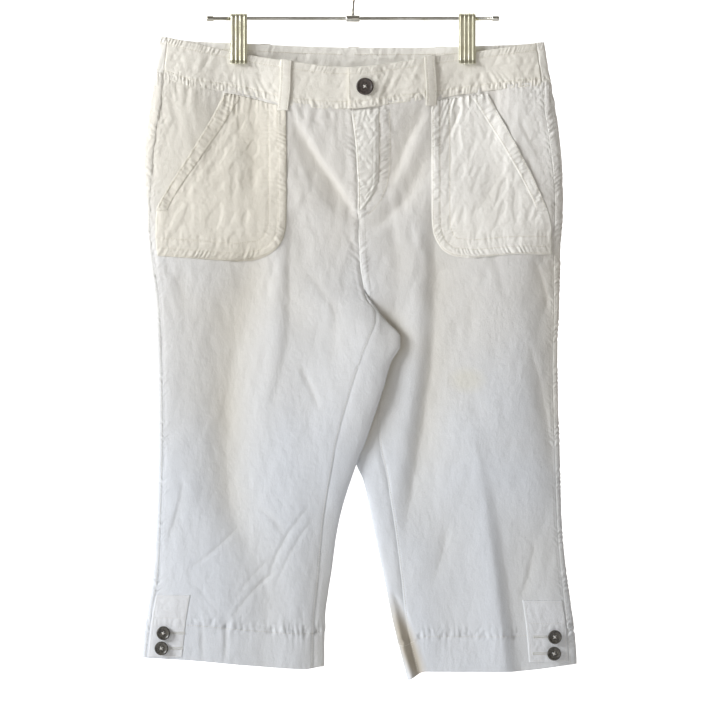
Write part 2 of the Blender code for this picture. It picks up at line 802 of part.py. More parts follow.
def hanger_hook(name, material):
    """A round hook on a straight stem, as a swept wire."""
    centre_radius = HOOK_INSIDE_RADIUS + HOOK_WIRE_RADIUS
    centre_z = -HOOK_INSIDE_RADIUS
    path = []
    for degrees in across(HOOK_FROM, HOOK_TO, 18):
        angle = math.radians(degrees)
        path.append((centre_radius * math.cos(angle), centre_z + centre_radius * math.sin(angle)))
    path += HOOK_STEM
    curve = bpy.data.curves.new(name, "CURVE")
    curve.dimensions = "3D"
    curve.bevel_depth = HOOK_WIRE_RADIUS * MM
    curve.bevel_resolution = 2
    curve.use_fill_caps = True
    spline = curve.splines.new("POLY")
    spline.points.add(len(path) - 1)
    for point, (x, z) in zip(spline.points, path):
        point.co = (x * MM, 0.0, z * MM, 1.0)
    link(name, curve, material)


def clip(name, x_middle, material):
    """A ribbed spring strip bent over the bar, its two jaws on the band."""
    bar = BAR_DROP - WAIST_DROP
    jaw = (
        # drop, half gap
        (CLIP_REACH, JAW_FLARE),
        (CLIP_REACH - 4, JAW_HALF_GAP),
        (0.0, JAW_HALF_GAP),
        (bar + 8, CLIP_BEND - 0.3),
    )
    path = [(-half_gap, drop, -1, 0) for drop, half_gap in jaw]
    for angle in across(0, math.pi, 4):
        path.append((-CLIP_BEND * math.cos(angle), bar - CLIP_BEND * math.sin(angle),
                     -math.cos(angle), -math.sin(angle)))
    path += [(half_gap, drop, 1, 0) for drop, half_gap in reversed(jaw)]
    columns = 2 * CLIP_RIBS
    outer, inner = [], []
    for y, drop, out_y, out_drop in path:
        outer.append([])
        inner.append([])
        for i in range(columns + 1):
            x = x_middle + CLIP_WIDTH * (i / columns - 0.5)
            thick = CLIP_WALL + (RIB_HEIGHT if i % 2 else 0.0)
            outer[-1].append((x, y + out_y * thick, drop + out_drop * thick))
            inner[-1].append((x, y, drop))
    wall(name, outer, inner, material)


# ---- assembly ---------------------------------------------------------------------
def build():
    for item in list(bpy.data.objects):
        bpy.data.objects.remove(item, do_unlink=True)

    twill = finish_material("white_twill", (0.86, 0.86, 0.85), 0.85)
    band_twill = finish_material("band_twill", (0.88, 0.86, 0.83), 0.85)
    horn = finish_material("dark_button", (0.05, 0.045, 0.045), 0.35)
    steel = finish_material("polished_steel", (0.72, 0.71, 0.68), 0.22, 1.0)

    front_panel("front_right", RIGHT, twill)
    front_panel("front_left", LEFT, twill)
    back_panel("back_right", RIGHT, twill)
    back_panel("back_left", LEFT, twill)
    front_band("waistband_front_right", RIGHT, TAB_EDGE_X + TAB_UNDERLAP, band_twill)
    front_band("waistband_front_left", LEFT, TAB_EDGE_X, band_twill)
    back_band("waistband_back", band_twill)
    fly("fly", twill)
    for word, half in (("right", RIGHT), ("left", LEFT)):
        pocket("pocket_" + word, half, band_twill)
        mouth_band("pocket_mouth_" + word, half, band_twill)
    for name, half, x_top, x_bottom, face in (
        ("belt_loop_front_right", RIGHT, -84, -88.5, "front"),
        ("belt_loop_front_left", LEFT, 98, 100, "front"),
        ("belt_loop_back_right", RIGHT, -112, -112, "back"),
        ("belt_loop_back_centre", LEFT, 0.5, 0.5, "back"),
        ("belt_loop_back_left", LEFT, 112, 112, "back"),
    ):
        belt_loop(name, half, x_top, x_bottom, face, band_twill)
    for name, half, x_outer, x_inner, top, bottom in (
        ("hem_tab_right", RIGHT, -256, -212, 709, 788),
        ("hem_tab_left", LEFT, 271, 220, 716, 795),
    ):
        hem_tab(name, half, x_outer, x_inner, top, bottom, twill)

    button("waist_button", LEFT, 15.1, 65.5, WAIST_BUTTON, 4.0, horn)
    for name, half, x, drop in (
        ("hem_button_right_upper", RIGHT, -239.5, 757.3),
        ("hem_button_right_lower", RIGHT, -242.0, 776.6),
        ("hem_button_left_upper", LEFT, 255.5, 762.6),
        ("hem_button_left_lower", LEFT, 254.5, 783.6),
    ):
        button(name, half, x, drop, HEM_BUTTON, PATCH_LIFT + PATCH_WALL + 0.6, horn)

    hanger_bar("hanger_bar", steel)
    hanger_hook("hanger_hook", steel)
    clip("clip_right", -CLIP_X, steel)
    clip("clip_left", CLIP_X, steel)


build()
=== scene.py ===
"""White capri pants hanging from a clip hanger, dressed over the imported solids.

Metres, +Z up. The origin is the seat of the hanger's hook, the front faces -Y
and the wearer's right leg is at -X. Cloth is worked out in millimetres as
(x, y, drop), where drop is the distance below the waistband's top corner.
"""
import math

import bmesh
import bpy
import numpy as np
from mathutils import Matrix, Vector


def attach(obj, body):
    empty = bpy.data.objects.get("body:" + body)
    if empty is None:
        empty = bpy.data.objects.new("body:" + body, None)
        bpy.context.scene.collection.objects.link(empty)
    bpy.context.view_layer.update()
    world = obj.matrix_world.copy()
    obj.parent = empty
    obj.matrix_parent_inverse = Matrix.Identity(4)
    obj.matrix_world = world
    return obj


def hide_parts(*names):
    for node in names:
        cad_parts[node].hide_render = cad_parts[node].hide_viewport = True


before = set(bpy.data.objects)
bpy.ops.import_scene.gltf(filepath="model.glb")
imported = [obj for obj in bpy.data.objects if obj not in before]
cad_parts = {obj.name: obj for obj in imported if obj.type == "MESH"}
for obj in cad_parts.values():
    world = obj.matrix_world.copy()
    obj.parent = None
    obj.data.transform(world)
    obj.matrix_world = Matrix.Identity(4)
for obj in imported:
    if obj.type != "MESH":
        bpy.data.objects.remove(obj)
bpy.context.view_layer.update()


# ---- Leg panels ---------------------------------------------------------------
# Two fronts and two backs cut from washed cotton twill, joined at the side
# seams, the crotch and the inseams. They hang slack from the waistband in long
# soft folds. The hems are turned up inside and stitched down 44 mm higher.
WAIST_DROP = 92.0       # hook seat to the top corner of the waistband
SPLIT = 322.0           # crotch seam
TOP_ROW = 51.0          # waist seam at the side seams
LAST_ROW = 800.0        # mean drop of the hems
LEVEL_FROM, LEVEL_TO = 200.0, 640.0     # rows are level between, and slant beyond
ROUNDNESS = 0.52        # of the lens that each leg is in plan
SEAM_GAP = 0.1
NUDGE = 0.01            # step of turn that shows which way the cloth runs
CLIP_X, CLIP_WIDTH = 145.0, 21.0
PINCH_WIDTH, PINCH_DEPTH = 68.0, 3.2    # the clips press the cloth together
PINCH_FROM, PINCH_TO = 66.0, 210.0
PASS_REACH, PASS_END = 115.0, 548.0     # one leg leans past the other down to here
SPLIT_HALF_DEPTH, FOLD_HALF_DEPTH = 5.6, 8.0
HEM_TURN_UP = 44.0
CREASE_TAPER = 22.0     # a crease dies out over this much of each end
FAN_LENGTH = 55.0       # below a clip its pleats spread to twice their pitch
SIDE_ROWS, RISE_ROWS, INSEAM_ROW = (1.8, 9.5), (1.8, 8.0), 2.0      # stitches, from the seam
FLY_ROW = 6.5           # either side of the line that the fly is sewn along

RIGHT_OUTLINE = (
    # drop, outer edge, side seam in from it
    (0, -245, 10),
    (51, -251, 11),
    (90, -258, 14),
    (150, -265.4, 13),
    (203, -263.3, 7),
    (270, -259, 4),
    (322, -253, 6),
    (364, -249.5, 6),
    (509, -246.4, 6),
    (613, -249, 6),
    (690, -254, 7),
    (735, -261.6, 6),
    (805, -269.5, 6),
)
LEFT_OUTLINE = (
    # drop, outer edge, side seam in from it
    (0, 241, 10),
    (51, 249.5, 11),
    (90, 257, 15),
    (157, 264.8, 13),
    (217, 267, 11),
    (270, 263.6, 9),
    (353, 261, 6),
    (413, 259.1, 6),
    (526, 262, 6),
    (629, 265.4, 6),
    (690, 271.8, 7),
    (745, 280.3, 10),
    (820, 286.4, 11),
)
CENTRE_SEAM = (
    # drop, x
    (0, -5.2),
    (60, -4.5),
    (94, -2.5),
    (130, 2.5),
    (174, 5.2),
    (227, 6.3),
    (290, 9.3),
    (322, 14.4),
)
RIGHT_INNER = (
    # drop, inner fold, inseam
    (322, 14.4, 14.4),
    (335, 20.3, 18),
    (350, 32, 29),
    (364, 45, 29),
    (381, 60.3, 22.5),
    (395, 60.3, 17),
    (413, 49, 10),
    (445, 39.4, -0.6),
    (509, 18.4, -18.7),
    (545, 4, -25.5),
    (613, -16.9, -36.6),
    (690, -28.6, -43.2),
    (735, -35.1, -48.2),
    (805, -36.4, -50.3),
)
LEFT_INNER = (
    # drop, inner fold, inseam
    (322, 14.4, 14.4),
    (335, 14, 15.5),
    (353, 9, 16.5),
    (381, 5, 20.6),
    (447, 3, 28),
    (526, 2.5, 34.5),
    (545, 4.5, 39),
    (564, 12.7, 43),
    (629, 27, 53.5),
    (690, 39.8, 61),
    (745, 51, 67.5),
    (820, 70, 83),
)
BAND_EDGES = (
    # x, front top, front seam, back top, back seam
    (-262, 0, 51, 0, 51),
    (-245, 0.5, 51.5, 0.5, 52),
    (-206, 8, 65, 6, 59),
    (-145, 21.5, 73, 9, 63),
    (-75, 33, 90, 12, 66),
    (-5, 40, 93.5, 14, 68),
    (60, 33, 86, 14, 68),
    (100, 26, 81, 14, 68),
    (145, 21, 74, 13, 67),
    (205, 13, 66.5, 10.5, 64.5),
    (243, 7.6, 64.5, 7.6, 64.5),
    (262, 7, 64, 7, 64),
)
FRONT_TOP, FRONT_SEAM, BACK_TOP, BACK_SEAM = 1, 2, 3, 4
HEM_EDGE = (
    # x, drop
    (-275, 788),
    (-200, 792),
    (-135, 798),
    (-60, 803),
    (-36, 800),
    (60, 818),
    (90, 806),
    (200, 806),
    (290, 796),
)
FULLNESS = (
    # drop, front depth, back depth, reach of the inner fold, pass of the legs
    (0, 6.5, 7.0, 2.0, 0),
    (60, 9.5, 11.5, 1.98, 0),
    (120, 13.8, 18, 1.7, 0),
    (200, 15, 21, 1.36, 0),
    (280, 14, 18, 1.1, 0),
    (322, 13, 15, 1.025, 0),
    (337, 12.8, 14, 1.016, 3.5),
    (355, 12.5, 13, 1.0, 7.5),
    (380, 12.5, 13, 1.0, 11),
    (450, 12.5, 13, 1.0, 10.5),
    (490, 12.5, 13, 1.0, 7.5),
    (545, 12.5, 13, 1.0, 4),
    (620, 12.8, 13, 1.0, 1),
    (700, 13.5, 13.5, 1.0, 0),
    (820, 14.5, 14.5, 1.0, 0),
)
FOLDS = {
    "front": (
        # width to its left, width to its right, then drop, x and depth along it
        (50, 32, (250, -118, 0), (303, -131, 11), (373, -150, 14), (440, -158, 11),
         (500, -162, 5), (560, -162, 0)),
        (27, 32, (400, -153, 0), (440, -158, 4), (500, -161, 11), (564, -160, 12), (615, -148, 8),
         (665, -124, 5.4), (716, -108, 4.8), (773, -112, 5.0), (815, -113, 4.4)),
        (8, 42, (214, -79, 0), (245, -78, 3.0), (303, -80, 4.0), (373, -81, 4.0), (411, -87, 3.2),
         (462, -99, 1.6), (505, -110, 0)),
        (26, 16, (590, -24, 0), (665, -30, 5.0), (716, -33, 7.5), (815, -38, 8.0)),
        (15, 6, (96, -80, 0), (122, -67, 4.0), (160, -45, 5.4), (196, -20, 5.2), (226, -1, 3.0),
         (246, 10, 0)),
        (26, 7, (84, 90, 0), (104, 83, 3.4), (141, 66, 4.6), (174, 53, 4.0), (195, 46, 1.8),
         (212, 40, 0)),
        (12, 9, (132, 94, 0), (160, 89, 2.2), (190, 77, 3.0), (215, 60, 3.0), (235, 39, 2.4),
         (254, 14, 0)),
        (20, 24, (228, 48, 0), (262, 55, 2.8), (300, 57, 3.8), (373, 55, 3.0), (440, 50, 0)),
        (12, 40, (196, 104, 0), (232, 104, 4.5), (303, 104, 9.5), (373, 104, 10.5),
         (411, 100, 11.5), (462, 94, 12.0), (513, 86, 11.0), (564, 78, 8.5), (615, 70, 3.0),
         (650, 66, 0)),
        (50, 50, (560, 110, 0), (640, 116, 3.4), (716, 120, 2.6), (800, 126, 0)),
        (26, 9, (450, 138, 0), (513, 154, -1.2), (564, 163, -1.8), (615, 170, -2.2),
         (716, 184, -2.6), (815, 195, -2.2)),
        (10, 60, (560, 178, 0), (615, 186, 2.2), (665, 193, 3.6), (716, 200, 3.8),
         (815, 212, 3.4)),
        (28, 60, (236, 262, 0), (280, 262, 9), (330, 262, 12), (373, 262, 13), (450, 262, 13),
         (513, 264, 9), (564, 269, 5), (620, 272, 0)),
        (62, 60, (550, 264, 0), (640, 264, 5.0), (720, 268, 4.0), (815, 270, 2.0)),
        (16, 12, (74, -138, 0), (100, -126, 2.6), (136, -116, 3.0), (170, -111, 2.2),
         (205, -108, 0)),
        (12, 9, (90, -154, 0), (116, -143, 2.6), (145, -129, 3.2), (180, -126, 2.4),
         (214, -128, 0)),
        (6, 7, (690, 42, 0), (730, 53, -4), (775, 63, -9), (820, 75, -9)),
        (14, 4, (700, 50, 0), (740, 64, 5.0), (775, 74, 7.0), (820, 88, 7.0)),
    ),
    "back": (
        (11, 8, (100, -68, 0), (130, -55, 3.0), (190, -28, 3.6), (225, -12, 2.4), (250, 0, 0)),
        (9, 12, (104, 70, 0), (140, 56, 3.0), (200, 32, 3.4), (238, 16, 2.0), (262, 6, 0)),
        (13, 34, (236, -26, 0), (280, -48, 3.0), (340, -74, 3.8), (400, -94, 2.4),
         (450, -106, 0)),
        (34, 13, (250, 40, 0), (290, 58, 3.0), (345, 90, 3.6), (390, 108, 2.2), (440, 122, 0)),
        (34, 20, (280, -146, 0), (340, -154, 4.6), (430, -166, 5.6), (520, -174, 4.4),
         (600, -172, 0)),
        (18, 36, (300, 164, 0), (370, 172, 4.4), (460, 182, 5.4), (560, 190, 4.0), (640, 192, 0)),
        (22, 9, (450, -94, 0), (540, -112, -2.2), (640, -138, -2.4), (720, -152, 0)),
        (9, 22, (500, 104, 0), (600, 126, -2.2), (700, 148, -2.6), (815, 170, -2.4)),
        (9, 26, (570, -62, 0), (630, -88, 2.8), (700, -126, 2.6), (745, -146, 0)),
        (26, 9, (580, 222, 0), (640, 194, 2.6), (700, 162, 2.6), (750, 140, 0)),
    ),
}
# Finer creases on the folds. A crease bows to one side of the line between
# its ends, and is steeper on its second side.
CREASES = {
    "front": (
        # x0, drop0, x1, drop1, bow, half width, second half width, depth
        (-77, 90, -72, 107, 0, 2.4, 1.8, 1.2),
        (-66, 88, -63, 108, 0, 2.4, 1.8, 0.9),
        (-54, 103, -38, 116, 0, 3.0, 2.0, 0.7),
        (-62, 150, -20, 222, -6, 7, 4, 0.7),
        (-73, 414, -43, 476, 3, 4, 2.5, 1.1),
        (-56, 597, -108, 688, -6, 3.4, 1.6, 0.8),
        (-50, 612, -98, 700, -5, 3.0, 1.6, 0.6),
        (-94, 675, -156, 743, -5, 3.2, 1.6, 0.8),
        (-100, 660, -150, 716, -4, 2.6, 1.6, 0.5),
        (-146, 622, -207, 675, 3, 3.4, 1.8, 0.7),
        (-210, 690, -168, 740, 4, 3.0, 1.8, 0.6),
        (-70, 720, -60, 770, 3, 3.0, 1.8, 0.6),
        (-161, 736, -162, 797, 0, 4, 1.8, 1.3),
        (-192, 742, -191, 796, 0, 4, 1.8, 0.9),
        (-120, 598, -84, 642, 4, 6, 3, 0.8),
        (-12, 246, 6, 284, 2, 3, 2, 0.8),
        (36, 179, 16, 216, 2, 4, 3, 1.0),
        (137, 84, 120, 130, 2, 2.2, 3.4, 1.3),
        (228, 280, 249, 352, 3, 3, 8, 1.2),
        (222, 386, 254, 560, 6, 4, 9, 1.0),
        (-215, 560, -235, 640, 3, 7, 3, 0.9),
        (-228, 300, -212, 352, 3, 8, 4, 0.9),
        (-60, 300, -20, 360, 4, 8, 4, 0.9),
        (-25, 330, -30, 420, 4, 9, 4, 0.8),
        (33, 508, 47, 580, 1, 3, 2, 0.7),
        (160, 300, 150, 380, -5, 11, 6, 0.7),
        (120, 620, 96, 700, 4, 9, 4, 0.8),
        (230, 640, 212, 716, 3, 7, 3, 0.9),
        (-150, 86, -148, 108, 0, 3.0, 2.0, 1.1),
        (-228, 110, -244, 148, 0, 6, 3, 1.2),
        (210, 96, 236, 150, -4, 7, 3, 1.1),
        (190, 170, 150, 226, 5, 10, 5, 0.8),
    ),
    "back": (
        (-118, 84, -98, 150, 4, 7, 3, 1.4),
        (-60, 82, -30, 160, -4, 6, 3, 1.1),
        (70, 84, 40, 158, 4, 6, 3, 1.2),
        (140, 82, 120, 140, -3, 7, 3, 1.3),
        (200, 90, 228, 160, 4, 7, 4, 1.1),
        (-205, 86, -232, 150, -3, 7, 4, 1.2),
        (-70, 130, -8, 240, 4, 7, 3.2, 1.5),
        (74, 136, 14, 252, -5, 7, 3.2, 1.5),
        (-28, 250, -94, 394, 6, 7, 3, 1.6),
        (44, 262, 110, 388, -5, 7, 3, 1.6),
        (-146, 300, -174, 520, 5, 8, 4, 1.3),
        (166, 322, 192, 560, -4, 8, 4, 1.3),
        (-98, 480, -150, 700, 2, 2.4, 6, -1.4),
        (104, 520, 165, 790, 2, 2.4, 6, -1.4),
        (-68, 588, -126, 702, 5, 5, 2.4, 1.4),
        (216, 598, 150, 722, -5, 5, 2.4, 1.4),
        (-200, 560, -226, 660, 3, 7, 3, 1.0),
        (60, 640, 88, 720, 3, 7, 3, 1.0),
        (-150, 742, -148, 798, 0, 4, 2, 1.1),
        (130, 752, 134, 806, 0, 4, 2, 1.1),
    ),
}


def smooth(rows, column, at):
    """Values of one column of a table, on a smooth curve through its rows."""
    rows = np.array(rows, float)
    keys, values = rows[:, 0], rows[:, column]
    at = np.clip(at, keys[0], keys[-1])
    i = np.clip(np.searchsorted(keys, at) - 1, 0, len(keys) - 2)
    span, rise = keys[i + 1] - keys[i], values[i + 1] - values[i]
    slopes = []
    for first, last in ((np.maximum(i - 1, 0), i + 1), (i, np.minimum(i + 2, len(keys) - 1))):
        slope = (values[last] - values[first]) / (keys[last] - keys[first]) * span
        limit = 3 * abs(rise)
        slopes.append(np.where(slope * rise > 0, np.clip(slope, -limit, limit), 0.0))
    t = (at - keys[i]) / span
    return (values[i] + rise * t * t * (3 - 2 * t)
            + slopes[0] * t * (1 - t) ** 2 - slopes[1] * t * t * (1 - t))


def ramp(value, low, high):
    """0 before low, 1 past high, eased between."""
    t = np.clip((value - low) / (high - low), 0.0, 1.0)
    return t * t * (3 - 2 * t)


def hump(distance, width):
    """1 in the middle, dying out on both sides."""
    return np.exp(-(distance / width) ** 2)


def along_and_aside(x, drop, x0, drop0, x1, drop1):
    """Length of a line, and how far along it and aside of it each place is."""
    length = math.hypot(x1 - x0, drop1 - drop0)
    along = ((x - x0) * (x1 - x0) + (drop - drop0) * (drop1 - drop0)) / length
    aside = ((x - x0) * (drop1 - drop0) - (drop - drop0) * (x1 - x0)) / length
    return length, along, aside


def fold_depth(face, x, drop):
    """How far the long folds push the cloth into the garment."""
    total = np.zeros(np.shape(x))
    for left, right, *path in FOLDS[face]:
        slant = (smooth(path, 1, drop + 4) - smooth(path, 1, drop - 4)) / 8
        aside = (x - smooth(path, 1, drop)) / np.sqrt(1 + slant ** 2)
        width = np.where(aside > 0, right, left)
        total += smooth(path, 2, drop) * np.exp(-abs(aside / width) ** 1.6)
    return total


def crease_depth(face, x, drop):
    """The same for the finer creases, and a slight unevenness all over."""
    total = np.zeros(np.shape(x))
    for *line, bow, half_width, second, depth in CREASES[face]:
        length, along, aside = along_and_aside(x, drop, *line)
        share = np.clip(along / length, 0, 1)
        aside = aside - bow * 4 * share * (1 - share)
        width = np.where(aside > 0, half_width, second)
        taper = min(CREASE_TAPER, length / 2)
        ends = ramp(along, -taper / 3, taper)
        ends = ends * (1 - ramp(along, length - taper, length + taper / 3))
        total += depth * ends * np.exp(-abs(aside / width) ** 1.5)
    phase = {"front": 0.0, "back": 2.0}[face]
    total += 0.45 * np.sin(x / 19 + drop / 47 + phase) * np.sin(drop / 61 - x / 83)
    total += 0.25 * np.sin(x / 11 - drop / 29 + 1 + phase) * np.sin(drop / 37 + x / 31)
    return total


def painted_shade_depth(face, x, drop):
    """How much shade is painted into the cloth's colour by its folds: about 1 in a fold."""
    return (fold_depth(face, x, drop) + 2 * crease_depth(face, x, drop)) / 14


def either_face(depth, turn, x, drop):
    """A depth on the face that each turn lies on."""
    front = np.sin(turn) > 0
    if front.all():
        return depth("front", x, drop)
    return np.where(front, depth("front", x, drop), depth("back", x, drop))


class Half:
    """One half of the garment, a flattened tube: turn 0 is its outer edge, and
    positive turns run over the front to the inner edge at pi."""

    def __init__(self, outline, inner_edge, side):
        self.outline = outline
        self.inner_edge = inner_edge
        self.side = side

    def outer(self, drop):
        """x of the outer edge."""
        return smooth(self.outline, 1, drop)

    def inner(self, drop):
        """x of the centre seam, and of the leg's inner fold below the crotch."""
        centre, fold = smooth(CENTRE_SEAM, 1, drop), smooth(self.inner_edge, 1, drop)
        return np.where(drop < SPLIT, centre, fold)

    def tip(self, drop):
        """x that the flattened tube would reach, past the seam above the crotch."""
        outer = self.outer(drop)
        return outer + (self.inner(drop) - outer) * smooth(FULLNESS, 3, drop)

    def turn_at(self, x, drop):
        """Turn of a place by its x."""
        outer = self.outer(drop)
        return np.arccos(np.clip(1 - 2 * (x - outer) / (self.tip(drop) - outer), -1, 1))

    def side_seam(self, drop):
        """Turn of the side seam."""
        return self.turn_at(self.outer(drop) - self.side * smooth(self.outline, 2, drop), drop)

    def centre_seam(self, drop):
        """Turn of the centre seam, and of the inseam below the crotch."""
        x = np.where(drop < SPLIT, self.inner(drop), smooth(self.inner_edge, 2, drop))
        return self.turn_at(x, drop)

    def point(self, turn, drop, inset=0.0, folds=True):
        """x and depth of the cloth's outer face, or of one inset into it."""
        turn, drop = np.broadcast_arrays(np.asarray(turn, float), np.asarray(drop, float))
        outer, tip = self.outer(drop), self.tip(drop)
        share = (1 - np.cos(turn)) / 2
        x = outer - self.side * inset + (tip - outer + 2 * self.side * inset) * share
        front = np.sin(turn) > 0
        depth = np.where(front, smooth(FULLNESS, 1, drop), smooth(FULLNESS, 2, drop))
        grip = 1 - ramp(abs(abs(x) - CLIP_X), CLIP_WIDTH * 0.9, PINCH_WIDTH)
        grip = grip * (1 - ramp(drop, PINCH_FROM, PINCH_TO))
        swell = abs(np.sin(turn)) ** ROUNDNESS
        gripped = depth + (PINCH_DEPTH / np.maximum(swell, 0.5) - depth) * grip
        y = (gripped - inset) * swell
        if folds:
            fold = either_face(fold_depth, turn, x, drop) * (1 - grip)
            room = (0.85 + 0.5 * ramp(swell, 0.75, 0.95)) * y + 0.01
            sunk = room * (1 - np.exp(-fold / room))
            y = y - np.where(fold > 0, sunk, fold * ramp(swell, 0.25, 0.8))
        y = np.where(front, -y, y)
        lean = np.where(drop > SPLIT, ramp(abs(x - tip), PASS_REACH, 0.0), 0.0)
        y = y + self.side * smooth(FULLNESS, 4, drop) * lean
        return self.clear_of_other_leg(x, y, drop, inset)

    def clear_of_other_leg(self, x, y, drop, inset):
        """Where the legs pass, each stays on its side of a plane between them."""
        right_tip, left_tip = smooth(RIGHT_INNER, 1, drop), smooth(LEFT_INNER, 1, drop)
        fade = ramp(drop, SPLIT, SPLIT + 25)
        half_depth = SPLIT_HALF_DEPTH + (FOLD_HALF_DEPTH - SPLIT_HALF_DEPTH) * fade
        front_x = np.maximum(right_tip, left_tip) + 1.5 * fade
        back_x = np.minimum(right_tip, left_tip) - 1.5 * fade
        length = np.hypot(front_x - back_x, 2 * half_depth)
        normal_x, normal_y = 2 * half_depth / length, (front_x - back_x) / length
        standoff = SEAM_GAP / 2 + 0.4 * ramp(drop, SPLIT - 1, SPLIT + 5) + inset
        past = -self.side * ((x - (front_x + back_x) / 2) * normal_x + y * normal_y) + standoff
        past = np.where((drop >= SPLIT) & (drop <= PASS_END), np.maximum(past, 0), 0)
        return x + self.side * normal_x * past, y + self.side * normal_y * past

    def direction(self, turn, drop, inset=0.0):
        """Change of x and y over a nudge of turn to each side, and its length."""
        ax, ay = self.point(turn - NUDGE, drop, inset, folds=False)
        bx, by = self.point(turn + NUDGE, drop, inset, folds=False)
        return bx - ax, by - ay, np.maximum(np.hypot(bx - ax, by - ay), 1e-6)

    def skin(self, turn, drop, inset=0.0):
        """Creased cloth as points (x, y, drop), and the way out of it in plan."""
        turn, drop = np.broadcast_arrays(np.asarray(turn, float), np.asarray(drop, float))
        dx, dy, length = self.direction(turn, drop, inset)
        normal = np.stack([-self.side * dy / length, self.side * dx / length,
                           np.zeros(np.shape(turn))], -1)
        x, y = self.point(turn, drop, inset)
        swell = ramp(abs(np.sin(turn)) ** ROUNDNESS, 0.25, 0.8)
        crease = either_face(crease_depth, turn, x, drop)
        near_split = hump(drop - SPLIT, 26) * hump(x - 14, 40)
        lift = -crease * swell * (1 - near_split)
        return np.stack([x, y, drop], -1) + normal * lift[..., None], normal

    def turn_for(self, turn, drop, distance):
        """Change of turn that moves a point this far along the cloth."""
        return distance * 2 * NUDGE / self.direction(turn, drop)[2]

    def front_turn(self, share, drop):
        """Turn at a share of the way from the side seam to the centre or inseam."""
        start, end = self.side_seam(drop), self.centre_seam(drop)
        start = start + self.turn_for(start, drop, SEAM_GAP / 2)
        end = end - self.turn_for(end, drop, SEAM_GAP / 2)
        return start + (end - start) * share

    def back_turn(self, share, drop):
        """Shares 0 to 1 run round the back, and 1 to 2 round the inner fold."""
        start = self.side_seam(drop)
        start = start - self.turn_for(start, drop, SEAM_GAP / 2)
        closed = -self.centre_seam(np.minimum(drop, SPLIT))
        gap = self.turn_for(closed, drop, SEAM_GAP / 2)
        closed = closed + np.where(drop < SPLIT, gap, 0)
        end = self.centre_seam(drop) - 2 * math.pi
        end = end + self.turn_for(end, drop, SEAM_GAP / 2)
        round_back = start + (closed - start) * share
        round_fold = closed + (end - closed) * (share - 1)
        return np.where(share <= 1, round_back, round_fold)


RIGHT = Half(RIGHT_OUTLINE, RIGHT_INNER, -1)
LEFT = Half(LEFT_OUTLINE, LEFT_INNER, 1)


def band_edge(half, column, x):
    """Drop of a waistband edge; front and back meet at the side seam."""
    side_x = half.outer(TOP_ROW) - half.side * smooth(half.outline, 2, TOP_ROW)
    front_column = FRONT_TOP if column in (FRONT_TOP, BACK_TOP) else FRONT_SEAM
    step = smooth(BAND_EDGES, front_column, side_x) - smooth(BAND_EDGES, column, side_x)
    return smooth(BAND_EDGES, column, x) + step * (1 - ramp(abs(x - side_x), 0, 60))


def ripple(along, pitch, seed):
    """Uneven small waves, as in cloth that a row of stitches draws up."""
    turn = 2 * math.pi / pitch
    wander = 2.1 * np.sin(along * turn / 7.3 + seed) + 1.2 * np.sin(along * turn / 3.1 + 2 * seed)
    strength = 0.62 + 0.38 * np.sin(along * turn / 10.7 + 3 * seed)
    return np.sin(along * turn + wander) * strength


def crinkle(x, drop, size, seed):
    """Crumples that run every way, with sharper ridges than hollows."""
    total = np.zeros(np.shape(x + drop))
    for k in range(6):
        angle = 0.55 + 1.13 * k + seed
        pitch = size * (0.75 + 0.14 * k)
        wave = (x * math.cos(angle) + drop * math.sin(angle)) * 2 * math.pi / pitch
        total = total + np.sin(wave + 1.9 * np.sin(wave * 0.31 + 2.3 * k + seed))
    return total / 3.4 + 0.3 - abs(total) / 4.6


def beside_seam(away, along, width, pitch, seed, strength=1.0):
    """Height beside a seam: sunk at it, puffed and rippled up to the last row
    of stitches, and dying out past that."""
    sunk = -0.7 * hump(away, 1.1)
    inside = 1 - ramp(away, width - 1.0, width + 1.5)
    rows = hump(away - SIDE_ROWS[0], 0.8) + hump(away - width, 0.9)
    puckers = ripple(along + 0.8 * away, pitch, seed) * np.exp(-np.maximum(away - width, 0) / 4)
    puckers = puckers * ramp(away, 0, 2)
    return sunk + 0.45 * inside - 0.3 * rows + 0.42 * strength * puckers


def clip_pleats(x, below, pitch, width, reach, seed):
    """Small pleats that fan out below the two clips."""
    total = np.zeros(np.shape(x))
    for clip in (-CLIP_X, CLIP_X):
        fan = (x - clip) * FAN_LENGTH / (FAN_LENGTH + below)
        total += ripple(fan, pitch, seed) * np.exp(-(fan / width) ** 2 - below / reach)
    return total


def nearest(path, x, drop):
    """Distance from a line of (x, drop) places, and how far along it that is."""
    away, along, run = np.full(np.shape(x), 1e9), np.zeros(np.shape(x)), 0.0
    for (ax, ad), (bx, bd) in zip(path[:-1], path[1:]):
        length = max(math.hypot(bx - ax, bd - ad), 1e-6)
        t = np.clip(((x - ax) * (bx - ax) + (drop - ad) * (bd - ad)) / length ** 2, 0, 1)
        here = np.hypot(x - ax - t * (bx - ax), drop - ad - t * (bd - ad))
        along = np.where(here < away, run + t * length, along)
        away = np.minimum(here, away)
        run += length
    return away, along


def in_metres(points):
    """Points (x, y, drop) in millimetres, as the frame's x, y and z."""
    return points * np.array([0.001, 0.001, -0.001]) - np.array([0, 0, WAIST_DROP * 0.001])


def new_piece(name, mesh, material):
    """Puts a mesh into the scene as a smooth piece of one material."""
    mesh.shade_smooth()
    mesh.materials.append(material)
    piece = bpy.data.objects.new(name, mesh)
    bpy.context.scene.collection.objects.link(piece)
    return piece


